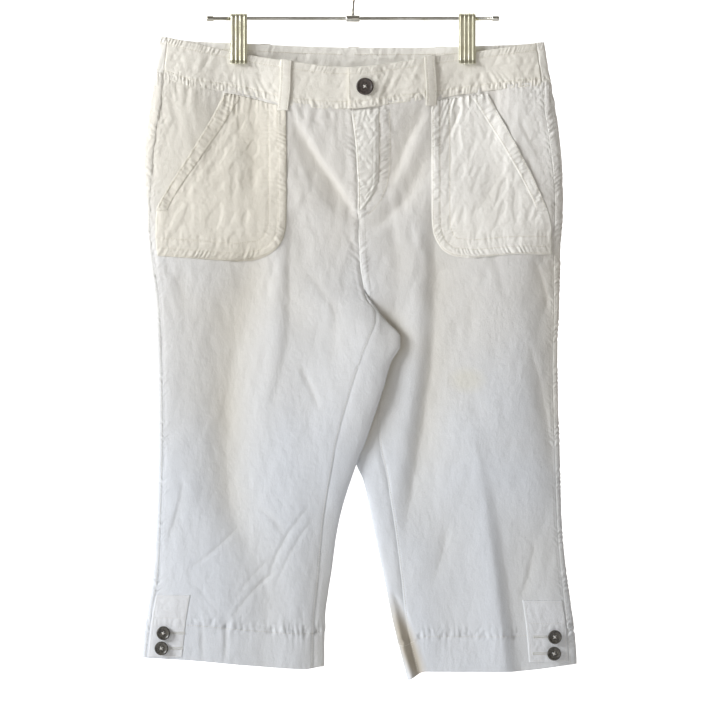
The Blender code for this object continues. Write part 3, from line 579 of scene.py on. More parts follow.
def cloth_mesh(name, points, material, facing=None, there=None, tube=False, painted_shade=None):
    """Cloth through a grid of (x, y, drop) points, with its grain as UVs in
    metres. A tube's rows go round it, and its ends are closed."""
    rows, columns = points.shape[:2]
    there = np.ones((rows, columns), bool) if there is None else there
    number = np.full((rows, columns), -1)
    number[there] = np.arange(there.sum())
    place = in_metres(points)
    across = np.linalg.norm(np.diff(points, axis=1), axis=2)
    down = np.linalg.norm(np.diff(points, axis=0), axis=2).mean(1)
    u = np.concatenate([np.zeros((rows, 1)), np.cumsum(across, 1)], 1)
    u -= u[:, columns // 2][:, None]
    v = np.r_[0, np.cumsum(down)][:, None] + np.zeros((rows, columns))
    grid = np.vstack([number, number[:1]]) if tube else number
    faces = np.stack([grid[:-1, :-1], grid[:-1, 1:], grid[1:, 1:], grid[1:, :-1]], -1)
    faces = faces.reshape(-1, 4)
    faces = faces[(faces >= 0).all(1)]
    if facing:
        a, b, d = (place[there][faces[:, k]] for k in (0, 1, 3))
        if np.cross(b - a, d - a)[:, 1].sum() * facing < 0:
            faces = faces[:, ::-1]
    faces = faces.tolist()
    if tube:
        faces += [number[:, 0].tolist(), number[::-1, -1].tolist()]
    mesh = bpy.data.meshes.new(name)
    mesh.from_pydata(place[there].tolist(), [], faces)
    if not facing:
        body = bmesh.new()
        body.from_mesh(mesh)
        bmesh.ops.recalc_face_normals(body, faces=body.faces)
        body.to_mesh(mesh)
        body.free()
    corner = np.empty(len(mesh.loops), np.int32)
    mesh.loops.foreach_get("vertex_index", corner)
    grain = (np.stack([u, v], -1)[there] * 0.001)[corner]
    mesh.uv_layers.new(name="grain").data.foreach_set("uv", grain.astype(np.float32).ravel())
    # painted shade: how dark the folds make the colour, kept on the points for the material
    if painted_shade is not None:
        shading = mesh.attributes.new("painted_shade", "FLOAT", "POINT")
        shading.data.foreach_set("value", painted_shade[there].astype(np.float32))
    return new_piece(name, mesh, material)


def stands_for(piece, solid):
    """The piece rides on the garment in a solid's place, with its finish."""
    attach(piece, "root")
    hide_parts(solid)


def feed(tree, made, inputs):
    """Gives a shader node its inputs, each a value or another node's socket."""
    for name, value in inputs.items():
        if isinstance(value, bpy.types.NodeSocket):
            tree.links.new(value, made.inputs[name])
        else:
            made.inputs[name].default_value = value


def node(tree, kind, settings=None, inputs=None):
    """Adds a shader node."""
    made = tree.nodes.new("ShaderNode" + kind)
    for name, value in (settings or {}).items():
        setattr(made, name, value)
    feed(tree, made, inputs or {})
    return made


def new_material(name):
    """A material, its nodes, its shader, and where on the object a point is."""
    material = bpy.data.materials.new(name)
    material.use_nodes = True
    tree = material.node_tree
    return material, tree, tree.nodes["Principled BSDF"], node(tree, "TexCoord").outputs["Object"]


def mix_colour(tree, factor, *colours):
    """Mixes two colours, each a value or another node's socket."""
    first, second = (tint if isinstance(tint, bpy.types.NodeSocket) else (*tint, 1)
                     for tint in colours)
    return node(tree, "Mix", {"data_type": "RGBA"}, {0: factor, 6: first, 7: second}).outputs[2]


def noise(tree, place, scale, **more):
    """Clouds all over, from 0 to 1."""
    return node(tree, "TexNoise", None, {"Vector": place, "Scale": scale, **more}).outputs["Fac"]


def waves(tree, place, direction, scale, **more):
    """Even stripes, from 0 to 1."""
    inputs = {"Vector": place, "Scale": scale, **more}
    return node(tree, "TexWave", {"bands_direction": direction}, inputs).outputs["Fac"]


def remap(tree, value, low, high, first, last):
    """Turns values from low to high into values from first to last."""
    inputs = {"Value": value, 1: low, 2: high, 3: first, 4: last}
    return node(tree, "MapRange", None, inputs).outputs[0]


def add_share(tree, value, share, base):
    """A base with a share of another value added to it."""
    inputs = {0: value, 1: share, 2: base}
    return node(tree, "Math", {"operation": "MULTIPLY_ADD"}, inputs).outputs[0]


def bump(tree, height, strength, distance, **more):
    """Relief that only the light shows, over any other given as Normal."""
    inputs = {"Strength": strength, "Distance": distance, "Height": height, **more}
    return node(tree, "Bump", None, inputs).outputs[0]


# painted light: UPPER_WHITE and LOWER_WHITE make the cloth creamy at the top and cool lower down,
# as the light falls on it; SHADED is the colour of the painted shade in the folds, and also of the
# darker slubs
UPPER_WHITE, LOWER_WHITE, SHADED = (0.82, 0.805, 0.78), (0.745, 0.785, 0.855), (0.66, 0.59, 0.44)
LEG_WALE, TRIM_WALE = 0.0009, 0.0008    # pitch of the twill's diagonals


def washed_twill(name, upper, lower, wale=TRIM_WALE, stains_and_painted_light=()):
    """Cotton twill: fine diagonal wales over crossed yarns, slubs, and the
    crumple that washing leaves. Light is painted into its colour: creamier at
    the top and cooler below, darker in its folds with painted shade, and with
    given spots of tint: painted light, painted shade and a real stain."""
    material, tree, shader, place = new_material(name)
    grain = node(tree, "UVMap", {"uv_map": "grain"}).outputs["UV"]

    wales = waves(tree, grain, "DIAGONAL", 0.628 / (wale * 1.41),
                  **{"Distortion": 0.6, "Detail": 1.0, "Detail Scale": 2.0})
    yarns = waves(tree, grain, "X", 0.314 / (wale * 0.5), Distortion=0.4)
    slubs = noise(tree, grain, 900.0, Detail=3.0)
    weave = add_share(tree, slubs, 0.8, add_share(tree, yarns, 0.45, wales))
    drawn = node(tree, "Mapping", None, {"Vector": place, "Scale": (1.25, 1.0, 0.8)}).outputs[0]
    crumple = noise(tree, drawn, 34.0, Detail=6.0, Roughness=0.62)

    # painted light: the white runs from creamy at the top to cool lower down, with clouds along the
    # change
    cloud = noise(tree, place, 6.0, Detail=4.0)
    height = node(tree, "SeparateXYZ", None, {0: place}).outputs["Z"]
    height = remap(tree, add_share(tree, cloud, 0.25, height), -0.52, -0.16, 1.0, 0.0)
    colour = mix_colour(tree, height, upper, lower)
    # painted shade: the colour goes darker and warmer, towards SHADED, by the shade stored on the
    # points for the folds
    depth = node(tree, "Attribute", {"attribute_name": "painted_shade"}).outputs["Fac"]
    colour = mix_colour(tree, remap(tree, depth, 0.0, 1.5, 0.0, 0.6), colour, SHADED)
    # spots of tint: painted light, painted shade, and a real stain
    for middle, size, tilt, tint, strength in stains_and_painted_light:
        spot = node(tree, "Mapping", {"vector_type": "TEXTURE"},
                    {"Vector": place, "Location": middle, "Rotation": (0, tilt, 0), "Scale": size})
        spot = node(tree, "TexGradient", {"gradient_type": "SPHERICAL"},
                    {"Vector": spot.outputs[0]})
        spot = remap(tree, spot.outputs["Fac"], 0.0, 0.6, 0.0, strength)
        colour = mix_colour(tree, spot, colour, tint)
    colour = mix_colour(tree, remap(tree, slubs, 0.3, 0.75, 0.0, 0.16), colour, SHADED)
    feed(tree, shader, {
        "Normal": bump(tree, weave, 0.35, 0.0002, Normal=bump(tree, crumple, 0.8, 0.0024)),
        "Base Color": colour,
        "Roughness": remap(tree, crumple, 0.0, 1.0, 0.78, 0.92),
        "Sheen Weight": 0.12,
        "Sheen Roughness": 0.45,
        "Specular IOR Level": 0.25,
    })
    return material


leg_twill = washed_twill("leg_twill", UPPER_WHITE, LOWER_WHITE, LEG_WALE, (
    # middle, size, tilt, tint, strength
    # painted warm light: a creamy place on the right hip
    ((-0.222, -0.012, -0.215), (0.09, 0.06, 0.15), 0, (0.84, 0.81, 0.735), 0.8),
))
left_leg_twill = washed_twill("left_leg_twill", UPPER_WHITE, LOWER_WHITE, LEG_WALE, (
    ((0.145, -0.012, -0.529), (0.028, 0.03, 0.02), 0, (0.75, 0.72, 0.56), 0.3),
    # painted shade: the dark inner tip of the left hem
    ((0.070, -0.012, -0.868), (0.016, 0.05, 0.080), -0.36, (0.42, 0.37, 0.29), 0.85),
    # painted highlight: a bright place on the left hip
    ((0.245, -0.012, -0.205), (0.07, 0.05, 0.13), 0, (0.97, 0.965, 0.95), 0.85),
))
PANEL_ROWS = np.r_[np.linspace(45, SPLIT, 156), np.linspace(SPLIT, LAST_ROW, 267)[1:]]
PANEL_COLUMNS = np.r_[0, 0.004, 0.009, 0.016, 0.025, np.linspace(0.037, 0.963, 104),
                      0.975, 0.984, 0.991, 0.996, 1]
INNER_FOLD_COLUMNS = 1 + np.linspace(0, 1, 22)[1:]
HEM_ROLL = (
    # further drop, inset
    (0.5, 0.4),
    (0.5, 1.1),
    (0.0, 1.7),
    (-3.0, 1.9),
    (-16.0, 1.9),
    (-32.0, 1.9),
    (-44.0, 1.9),
)
SIDE_PUCKERS = {
    # width, pitch and strength of the puckers beside the side seam
    "front": (2.0, 5.8, 1.3),
    "back": (SIDE_ROWS[1], 6.0, 1.7),
}
INSEAM_GROOVE = {RIGHT: 0.3, LEFT: 0.6}
TABS_FROM, TABS_FULL = 202, 210     # the hem lies flatter under its tab
FLY_STITCHING = (
    # x, drop
    (40, 92), (40.5, 140), (40, 168), (37, 188), (30, 205), (21, 217), (10, 224),
)


def fly_puckers(x, drop):
    """The left front puckers along the row that holds the fly."""
    away, along = nearest(FLY_STITCHING, x, drop)
    height = (0.7 * ripple(along + 0.6 * x, 6.4, 2.0) + 0.3) * np.exp(-(away / 6.4) ** 4)
    height += 0.35 * crinkle(x, drop, 9, 3.0) * hump(away, 12)
    return height - 0.4 * hump(away - FLY_ROW, 0.9)


def waist_gathers(x, below, seed):
    """Gathers below the waist seam and the clips."""
    height = 0.5 * ripple(x, 4.6, seed) * np.exp(-below / 8)
    height += 0.8 * ripple(x, 15.5, seed + 1) * np.exp(-below / 20) * ramp(below, -2, 8)
    return height + 0.9 * clip_pleats(x, below, 6.5, 36, 26, seed)


def hem_puckers(x, drop, up, seed):
    """Puckers along the hem's row of stitches, most of them above it."""
    above = hump(np.maximum(up, 0), 12) * ramp(up, -2.5, 1.5)
    height = ripple(x + 0.1 * up, 6.6, seed + 3) * above - 0.5 * hump(up, 1.1)
    height += 0.3 * ripple(x, 8, seed + 2) * hump(up, 14) * ramp(up, 8, 0)
    return height + 0.75 * crinkle(x, drop * 0.8, 9, seed) * hump(up - 4, 8)


def leg_panel(name, half, face, material, cut, area):
    """One panel with its hem turned up. Its lines are kept for the stitching."""
    share = PANEL_COLUMNS if face == "front" else np.r_[PANEL_COLUMNS, INNER_FOLD_COLUMNS]
    share = share[None, :]
    plain, roll = np.zeros(len(PANEL_ROWS)), np.array(HEM_ROLL)
    nominal = np.r_[PANEL_ROWS, np.full(len(roll), LAST_ROW)][:, None] + 0 * share
    further = np.r_[plain, roll[:, 0]][:, None]
    inset = np.r_[plain, roll[:, 1]][:, None] + 0 * share
    turn_at = half.front_turn if face == "front" else half.back_turn
    x = half.point(turn_at(share, nominal), nominal)[0]
    waist_seam = band_edge(half, FRONT_SEAM if face == "front" else BACK_SEAM, x)
    hem = smooth(HEM_EDGE, 1, x)
    above_level = np.maximum(0, (LEVEL_FROM - nominal) / (LEVEL_FROM - TOP_ROW))
    below_level = np.maximum(0, (nominal - LEVEL_TO) / (LAST_ROW - LEVEL_TO))
    drop = nominal + (waist_seam + SEAM_GAP - TOP_ROW) * above_level
    drop = drop + (hem - LAST_ROW) * below_level + further
    turn = turn_at(share, drop)
    points, out = half.skin(turn, drop, inset)
    x = points[..., 0]

    steps = np.hypot(*np.moveaxis(np.diff(points[..., :2], axis=1), 2, 0))
    from_side = np.concatenate([np.zeros((len(nominal), 1)), np.cumsum(steps, 1)], 1)
    there = (share <= 1) | (nominal >= SPLIT)
    last = np.where(nominal[:, 0] >= SPLIT, share.size - 1, len(PANEL_COLUMNS) - 1)
    from_centre = from_side[np.arange(len(last)), last][:, None] - from_side
    below = np.maximum(drop - waist_seam, 0)
    up = hem - drop - HEM_TURN_UP

    seed = {"front": 1.0, "back": 4.0}[face] + half.side
    width, pitch, strength = SIDE_PUCKERS[face]
    height = beside_seam(from_side, drop, width, pitch, seed, strength)
    rise = ramp(drop, SPLIT + 30, SPLIT)
    width = INSEAM_ROW + (RISE_ROWS[1] - INSEAM_ROW) * rise
    height += beside_seam(from_centre, drop, width, 6.2, seed + 2, 0.6 + 1.2 * rise)
    height -= (INSEAM_GROOVE[half] - 0.2 * rise) * hump(from_centre, 2.0)
    if (face, half) == ("front", LEFT):
        height += fly_puckers(x, drop)
    hip = hump(from_side, 26) * ramp(drop, 345, 280)
    height += 0.26 * crinkle(x, drop, 8.5, seed) * (hip + np.exp(-below / 14))
    height += 0.20 * crinkle(x, drop, 8.0, seed + 1) * rise * hump(from_centre, 14)
    height += 0.45 * crinkle(x, drop * 0.45, 24, seed + 2) * (0.4 + 0.6 * ramp(drop, 420, 250))
    under_tab = ramp(abs(x), TABS_FROM, TABS_FULL) if face == "front" else 0.0
    height += waist_gathers(x, below, seed) + hem_puckers(x, drop, up, seed) * (1 - 0.8 * under_tab)
    height += 0.25 * ripple(x, 9, seed) * hump(hem - drop, 5)
    points = points + out * (height * (inset == 0))[..., None]

    # painted shade: the folds darken the cloth's colour
    painted_shade = either_face(painted_shade_depth, turn, x, drop)
    # painted shadow: the left leg's colour is darkened where the right leg passes in front of it,
    # on its front and back panels alike
    if half is LEFT:        # it lies in the right leg's shade where it passes behind
        beyond = np.maximum(x - smooth(RIGHT_INNER, 1, drop), 0)
        shade = np.exp(-beyond / 14) * ramp(drop, SPLIT, 360) * (1 - ramp(drop, 500, 560))
        painted_shade = painted_shade + 1.3 * shade
    facing = -1 if face == "front" else 1
    piece = cloth_mesh(name, points, material, facing, there, painted_shade=painted_shade)
    stands_for(piece, name)
    used = slice(0, len(PANEL_ROWS))
    return {"points": points[used], "out": out[used], "there": there[used],
            "side": from_side[used], "centre": from_centre[used], "hem": (hem - drop)[used]}


panels = {}
for name, half, face, material, cut, area in (
    ("front_right", RIGHT, "front", leg_twill, (0.29, 0.80), 0.185),
    ("front_left", LEFT, "front", left_leg_twill, (0.29, 0.80), 0.185),
    ("back_right", RIGHT, "back", leg_twill, (0.34, 0.80), 0.22),
    ("back_left", LEFT, "back", left_leg_twill, (0.34, 0.80), 0.22),
):
    panels[name] = leg_panel(name, half, face, material, cut, area)


# ---- Seam stitching -----------------------------------------------------------
# Cotton-wrapped thread, white with a little cream. The side seams and the back
# rise are felled and stitched twice, the hems and inseams once.
STITCH_PITCH, STITCH_LENGTH = 3.1, 2.3
THREAD, FINE_THREAD, THREAD_SIDES = 0.3, 0.2, 5
FLY_SEWN_TO = 214       # the fronts' rise is stitched from here to the split
STITCH_PROFILE = (
    # share of the stitch's length, rise off the cloth and radius, in thread radii
    (0, -0.7, 0.5),
    (0.13, 0.25, 1.0),
    (0.5, 0.5, 1.0),
    (0.87, 0.25, 1.0),
    (1, -0.7, 0.5),
)


def thread_material(name, colour):
    """Two-ply thread: fine slanted ridges and a soft shine."""
    material, tree, shader, place = new_material(name)
    worn = remap(tree, noise(tree, place, 160.0), 0.35, 0.7, 0.0, 0.5)
    dull = [0.82 * part for part in colour]
    feed(tree, shader, {
        "Base Color": mix_colour(tree, worn, colour, dull),
        "Normal": bump(tree, waves(tree, place, "DIAGONAL", 900.0), 0.5, 0.0001),
        "Roughness": 0.55,
        "Sheen Weight": 0.2,
    })
    return material


def run_along(points):
    """How far along a line each of its points is."""
    return np.r_[0, np.cumsum(np.linalg.norm(np.diff(points, axis=0), axis=1))]


def read_at(at, keys, table):
    """The columns of a table, read at places between its rows."""
    return np.stack([np.interp(at, keys, table[:, k]) for k in range(table.shape[1])], -1)


def tube_faces(rings, sides):
    """Faces of a tube of rings, and those that close its two ends."""
    k = np.arange(sides)
    low = np.arange(rings - 1)[:, None] * sides
    walls = np.stack([low + k, low + (k + 1) % sides, low + sides + (k + 1) % sides,
                      low + sides + k], -1)
    return walls.reshape(-1, 4), np.stack([k[::-1], (rings - 1) * sides + k])


def stitch(name, rows, material,
           pitch=STITCH_PITCH, length=STITCH_LENGTH, radius=THREAD, lead=0.3):
    """Rows of stitches as one mesh. A row is its points and the ways out of
    the cloth there; each stitch rises from the cloth and dives back in."""
    share, rise, girth = np.array(STITCH_PROFILE).T
    rings, angle = len(share), np.arange(THREAD_SIDES) * 2 * math.pi / THREAD_SIDES
    walls, ends = tube_faces(rings, THREAD_SIDES)
    places, faces, first = [], [], 0
    for points, outs in rows:
        points, outs = np.array(points), np.array(outs)
        run = run_along(points)
        starts = np.arange(lead, run[-1] - length + 1e-6, pitch)
        if not len(starts):
            continue
        at = starts[:, None] + length * share
        middle, out = read_at(at, run, points), read_at(at, run, outs)
        out /= np.linalg.norm(out, axis=-1, keepdims=True)
        middle = middle + out * (rise * radius)[:, None]
        ahead = middle[:, -1:] - middle[:, :1]
        aside = np.cross(ahead, out)
        aside /= np.linalg.norm(aside, axis=-1, keepdims=True)
        ring = middle[:, :, None] + (girth * radius)[:, None, None] * (
            aside[:, :, None] * np.cos(angle)[:, None] + out[:, :, None] * np.sin(angle)[:, None])
        places.append(ring.reshape(-1, 3))
        base = first + np.arange(len(starts))[:, None, None] * rings * THREAD_SIDES
        faces += (base + walls).reshape(-1, 4).tolist()
        faces += (base + ends).reshape(-1, THREAD_SIDES).tolist()
        first += len(places[-1])
    mesh = bpy.data.meshes.new(name)
    mesh.from_pydata(in_metres(np.concatenate(places)).tolist(), [], faces)
    piece = new_piece(name, mesh, material)
    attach(piece, "root")


def line_on(panel, field, value, first=-1e9, last=1e9, down=True):
    """The line on a panel where a field has one value, between two drops or,
    for a line that runs across, between two values of x."""
    field, points, outs, there = (panel[key] for key in (field, "points", "out", "there"))
    if not down:
        field, there = field.T, there.T
        points, outs = points.transpose(1, 0, 2), outs.transpose(1, 0, 2)
    line, ways = [], []
    for values, place, out, real in zip(field, points, outs, there):
        values, place, out = values[real], place[real], out[real]
        if values[0] > values[-1]:
            values, place, out = values[::-1], place[::-1], out[::-1]
        if values[0] <= value <= values[-1]:
            spot = read_at(value, values, place)
            if first <= spot[2 if down else 0] <= last:
                line.append(spot)
                ways.append(read_at(value, values, out))
    return line, ways


white_thread = thread_material("white_thread", (0.82, 0.81, 0.78))
cream_thread = thread_material("cream_thread", (0.84, 0.79, 0.67))
seam_rows = []
for name in ("back_right", "back_left"):
    seam_rows += [line_on(panels[name], "side", away) for away in SIDE_ROWS]
    seam_rows += [line_on(panels[name], "hem", HEM_TURN_UP, down=False)]
for name in ("front_right", "front_left"):
    seam_rows += [line_on(panels[name], "hem", HEM_TURN_UP, down=False)]
    seam_rows += [line_on(panels[name], "centre", INSEAM_ROW, first=SPLIT + 6)]
for away in RISE_ROWS:
    seam_rows += [line_on(panels["back_left"], "centre", away, last=SPLIT)]
    seam_rows += [line_on(panels["front_left"], "centre", away, FLY_SEWN_TO, SPLIT)]
stitch("seam_stitches", seam_rows, white_thread)


# ---- Patch pockets ------------------------------------------------------------
# Two large pockets of a fine twill, laid on the fronts with a slanted mouth.
# The right one is painted creamy and darker, as in shade, and the left one
# painted whiter, as in full light. Their edges are turned under and sewn
# twice, which puckers them, and a third row holds the pocket bag inside.
POCKET_TOP, POCKET_LEVEL, POCKET_BOTTOM = 72.0, 160.0, 283.0
MOUTH_END = 222.0
SEW_DOWN = 2.6          # patches start this far below the waist seam
POCKET_LIFT, POCKET_WALL = 0.95, 0.35
EDGE_ROWS, BAG_ROW = (2.0, 10.5), 23.0      # stitches, in from the sewn edge
POCKET_ROWS = (
    # drop, right mouth, right edge, left mouth, left edge
    (72, -163, -84.5, 171, 99.5),
    (110, -182, -84.5, 191, 99.5),
    (150, -206, -84, 213, 99.5),
    (185, -229, -84, 231, 99.5),
    (220, -248, -84, 246, 99.5),
    (246, -250, -85.5, 252, 101),
    (262, -250, -92, 252, 107),
    (274, -249, -105, 252, 117),
    (281, -248, -124, 252, 134),
    (283, -248, -146, 252, 156),
)
POCKET_TILT = (
    # x, further drop of the bottom edge
    (-250, -3.6),
    (-140, 4.0),
    (-100, 3.0),
    (100, 1.0),
    (141, 0.0),
    (170, -2.0),
    (211, -5.4),
    (255, -5.0),
)
# painted light: the left pocket's twill is whiter, as lit, and the right one's creamier and darker,
# as shaded; the mouth bands share them
light_painted_pocket_twill = washed_twill("light_painted_pocket_twill", (0.97, 0.96, 0.93), (0.97, 0.965, 0.94))
shade_painted_pocket_twill = washed_twill("shade_painted_pocket_twill", (0.83, 0.795, 0.715), (0.83, 0.81, 0.76))
POCKETS = (("right", RIGHT, shade_painted_pocket_twill), ("left", LEFT, light_painted_pocket_twill))
MOUTH_COLUMN, EDGE_COLUMN = {RIGHT: 1, LEFT: 3}, {RIGHT: 2, LEFT: 4}


def on_cloth(half, x, drop, lift):
    """Points lifted square off a front's cloth, and the way out of it."""
    turn = half.turn_at(x, drop)
    place = half.skin(turn, drop)[0]
    along = half.skin(turn + NUDGE, drop)[0] - half.skin(turn - NUDGE, drop)[0]
    down = half.skin(turn, drop + 1)[0] - half.skin(turn, drop - 1)[0]
    out = np.cross(along, down)
    out /= np.linalg.norm(out, axis=-1, keepdims=True)
    out = np.where(out[..., 1:2] > 0, -out, out)
    return place + out * np.asarray(lift)[..., None], out


def inset_line(path, distance):
    """A line of (x, drop) places moved sideways, to its left as it runs."""
    path = np.array(path, float)
    ahead = np.gradient(path, axis=0)
    ahead /= np.maximum(np.linalg.norm(ahead, axis=1, keepdims=True), 1e-9)
    return path + distance * np.stack([ahead[:, 1], -ahead[:, 0]], 1)


def below_seam(half, x, nominal, first, level, gap):
    """Drop of a patch's row: its first row lies under the waist seam."""
    fade = np.maximum(0.0, (level - nominal) / (level - first))
    return nominal + (band_edge(half, FRONT_SEAM, x) + gap - first) * fade


def pocket_drop(half, x, nominal):
    """Drop of a pocket's row, tilted towards its bottom edge."""
    tilt = smooth(POCKET_TILT, 1, x) * ramp(nominal, 190, POCKET_BOTTOM)
    return below_seam(half, x, nominal, POCKET_TOP, POCKET_LEVEL, SEW_DOWN) + tilt


def pocket_outline(half):
    """The sewn edge, down the inner side and along the bottom, and the mouth."""
    nominal = np.linspace(POCKET_TOP, POCKET_BOTTOM, 70)
    x = smooth(POCKET_ROWS, EDGE_COLUMN[half], nominal)
    far = smooth(POCKET_ROWS, MOUTH_COLUMN[half], POCKET_BOTTOM)
    x = np.r_[x, np.linspace(x[-1], far, 40)[1:]]
    nominal = np.r_[nominal, np.full(39, POCKET_BOTTOM)]
    edge_line = np.stack([x, pocket_drop(half, x, nominal)], 1)
    nominal = np.linspace(POCKET_TOP, MOUTH_END, 40)
    x = smooth(POCKET_ROWS, MOUTH_COLUMN[half], nominal)
    return edge_line, np.stack([x, pocket_drop(half, x, nominal)], 1)


def pocket_skin(half, x, drop):
    """The pocket's outer face: rolled at the edge, rippled between the rows."""
    edge_line, mouth_line = pocket_outline(half)
    away, along = nearest(edge_line, x, drop)
    from_mouth, mouth_along = nearest(mouth_line, x, drop)
    seed = 2.0 + half.side
    lift = POCKET_LIFT - 0.35 * hump(away, 1.4)
    lift += 0.45 * ramp(away, 0, 3) * (1 - ramp(away, 9.0, 12.5))
    puckers = 0.6 * ramp(away, 0, 2) * np.exp(-np.maximum(away - 9, 0) / 3)
    lift += ripple(along + 0.45 * away, 5.6, seed) * puckers
    for row in EDGE_ROWS:
        lift -= 0.45 * hump(away - row, 0.9)
    lift -= 0.5 * hump(away - BAG_ROW, 1.3)
    lift += 0.4 * ripple(along, 7, seed + 1) * hump(away - BAG_ROW, 7)
    lift += 0.5 * hump(from_mouth, 7)
    lift += 0.35 * ripple(mouth_along, 8, seed) * np.exp(-from_mouth / 9)
    lift += 0.7 * crinkle(x + 0.2 * drop, drop * 0.5, 19, seed) * ramp(away, 4, 30)
    near_edges = np.exp(-from_mouth / 26) + np.exp(-away / 12) + 0.25
    lift += 0.3 * crinkle(x, drop, 8.5, seed + 1) * near_edges
    under_seam = np.maximum(drop - band_edge(half, FRONT_SEAM, x) - SEW_DOWN, 0)
    lift += ripple(x, 5.0, seed + 2) * 0.5 * np.exp(-under_seam / 8)
    lift += 0.9 * ripple(x, 13, seed + 3) * np.exp(-under_seam / 20)
    lift += clip_pleats(x, under_seam, 7.0, 34, 24, seed)
    return on_cloth(half, x, drop, np.maximum(lift, 0.5))


def patch(name, points, twill, wall, painted_shade=0.0):
    """A piece of twill with its thickness, laid on the cloth in its solid's place."""
    painted_shade = painted_shade + np.zeros(points.shape[:2])
    piece = cloth_mesh(name, points, twill, facing=-1, painted_shade=painted_shade)
    shell = piece.modifiers.new("cloth thickness", "SOLIDIFY")
    shell.thickness, shell.offset = wall * 0.001, -1.0
    stands_for(piece, name)
    return piece


def as_row(path, skin, half):
    """A stitching row along a line of (x, drop) places on a piece's skin."""
    return skin(half, path[:, 0], path[:, 1])


pocket_rows = []
for word, half, twill in POCKETS:
    nominal = np.r_[np.linspace(POCKET_TOP, 240, 100), np.linspace(240, POCKET_BOTTOM, 36)[1:]]
    nominal = nominal[:, None]
    share = np.r_[0, 0.01, np.linspace(0.02, 0.98, 104), 0.99, 1][None, :]
    near = smooth(POCKET_ROWS, MOUTH_COLUMN[half], nominal)
    x = near + (smooth(POCKET_ROWS, EDGE_COLUMN[half], nominal) - near) * share
    drop = pocket_drop(half, x, nominal + 0 * share)
    points = pocket_skin(half, x, drop)[0]
    # painted shade in the pocket's folds
    painted_shade = painted_shade_depth("front", x, drop)
    piece = patch("pocket_" + word, points, twill, POCKET_WALL, painted_shade)
    edge_line = pocket_outline(half)[0]
    for row in (*EDGE_ROWS, BAG_ROW):
        pocket_rows.append(as_row(inset_line(edge_line, half.side * row)[2:-2], pocket_skin, half))
stitch("pocket_stitches", pocket_rows, cream_thread)


# ---- Pocket mouths ------------------------------------------------------------
# A turned band of the same twill along each slanted mouth, wider at its top,
# stitched on both sides.
MOUTH_BAND, MOUTH_NARROWING, MOUTH_LENGTH = 21.0, 0.35, 165
MOUTH_ROW, MOUTH_WALL = 2.2, 0.1


def mouth_skin(half, x, drop):
    """Outer face of the mouth band, on the pocket, standing open at its edge."""
    away, along = nearest(pocket_outline(half)[1], x, drop)
    points, outs = pocket_skin(half, x, drop)
    width = MOUTH_BAND * (1 - MOUTH_NARROWING * np.clip(along / MOUTH_LENGTH, 0, 1))
    crown = np.sin(np.pi * np.clip(away / width, 0, 1))
    lift = 0.1 + 0.4 * crown + 0.4 * ripple(along, 6.6, 5.0 + half.side) * crown ** 0.5
    lift -= 0.25 * hump(away - MOUTH_ROW, 0.8) + 0.1 * hump(away - width + MOUTH_ROW, 0.8)
    return points + outs * np.maximum(lift, 0.12)[..., None], outs


mouth_rows = []
for word, half, twill in POCKETS:
    share = np.linspace(0, 1, 120)[:, None]
    nominal = POCKET_TOP + 2 + (MOUTH_END - POCKET_TOP - 2) * share
    width = MOUTH_BAND * (1 - MOUTH_NARROWING * share)
    edge = smooth(POCKET_ROWS, MOUTH_COLUMN[half], nominal)
    x = edge - half.side * width * np.linspace(0, 1, 17)[None, :]
    drop = below_seam(half, x, nominal + 0 * x, POCKET_TOP, POCKET_LEVEL, SEW_DOWN + 0.5)
    points, outs = mouth_skin(half, x, drop)
    piece = patch("pocket_mouth_" + word, points, twill, MOUTH_WALL)
    for column in (2, 14):
        mouth_rows.append((points[2:-2, column], outs[2:-2, column]))
stitch("mouth_stitches", mouth_rows, cream_thread)


# ---- Fly ----------------------------------------------------------------------
# The left front's fly facing laps over the right. It is held by a curved row
# of double stitching, and hides its zip.
FLY_TOP, FLY_LEVEL, FLY_END = 96.0, 140.0, 225.0
FLY_WALL, FLY_ROW_REACH = 0.6, 147
FLY_ROWS = (
    # drop, edge, stitched side
    (96, -2.5, 33),
    (140, 3, 33),
    (185, 5.8, 32),
    (203, 6.2, 27),
    (217, 6.3, 18),
    (225, 6.5, 10),
)


def fly_skin(half, x, drop):
    """Outer face of the fly: a proud edge, thinning to the stitched side."""
    edge, side = smooth(FLY_ROWS, 1, drop), smooth(FLY_ROWS, 2, drop)
    from_edge, from_side = x - edge, side - x
    lift = 0.5 + 1.1 * ramp(from_side, 0, 6) - 0.5 * hump(from_edge, 0.9)
    lift += 0.5 * ripple(drop + 0.5 * x, 6.2, 3.0) * np.exp(-np.maximum(from_edge - 3, 0) / 8)
    lift += 0.25 * ripple(drop + 1.2 * x, 7.5, 1.0) * hump(from_side - 5, 8)
    lift -= 0.3 * hump(from_edge - 2.4, 0.8)
    for row in (1.6, 7.0):
        lift -= 0.28 * hump(from_side - row, 0.8)
    lift += 0.5 * ripple(x + 0.25 * drop, 9, 2.0) * np.exp(-np.maximum(drop - FLY_TOP, 0) / 16)
    lift += 0.42 * crinkle(x, drop, 11, 2.0)
    return on_cloth(half, x, drop, np.maximum(lift, 0.25))


def by_fly_skin(half, x, drop):
    """The front's own cloth, a little proud, where the fly is sewn to it."""
    return on_cloth(half, x, drop, 0.15 + 0 * x)


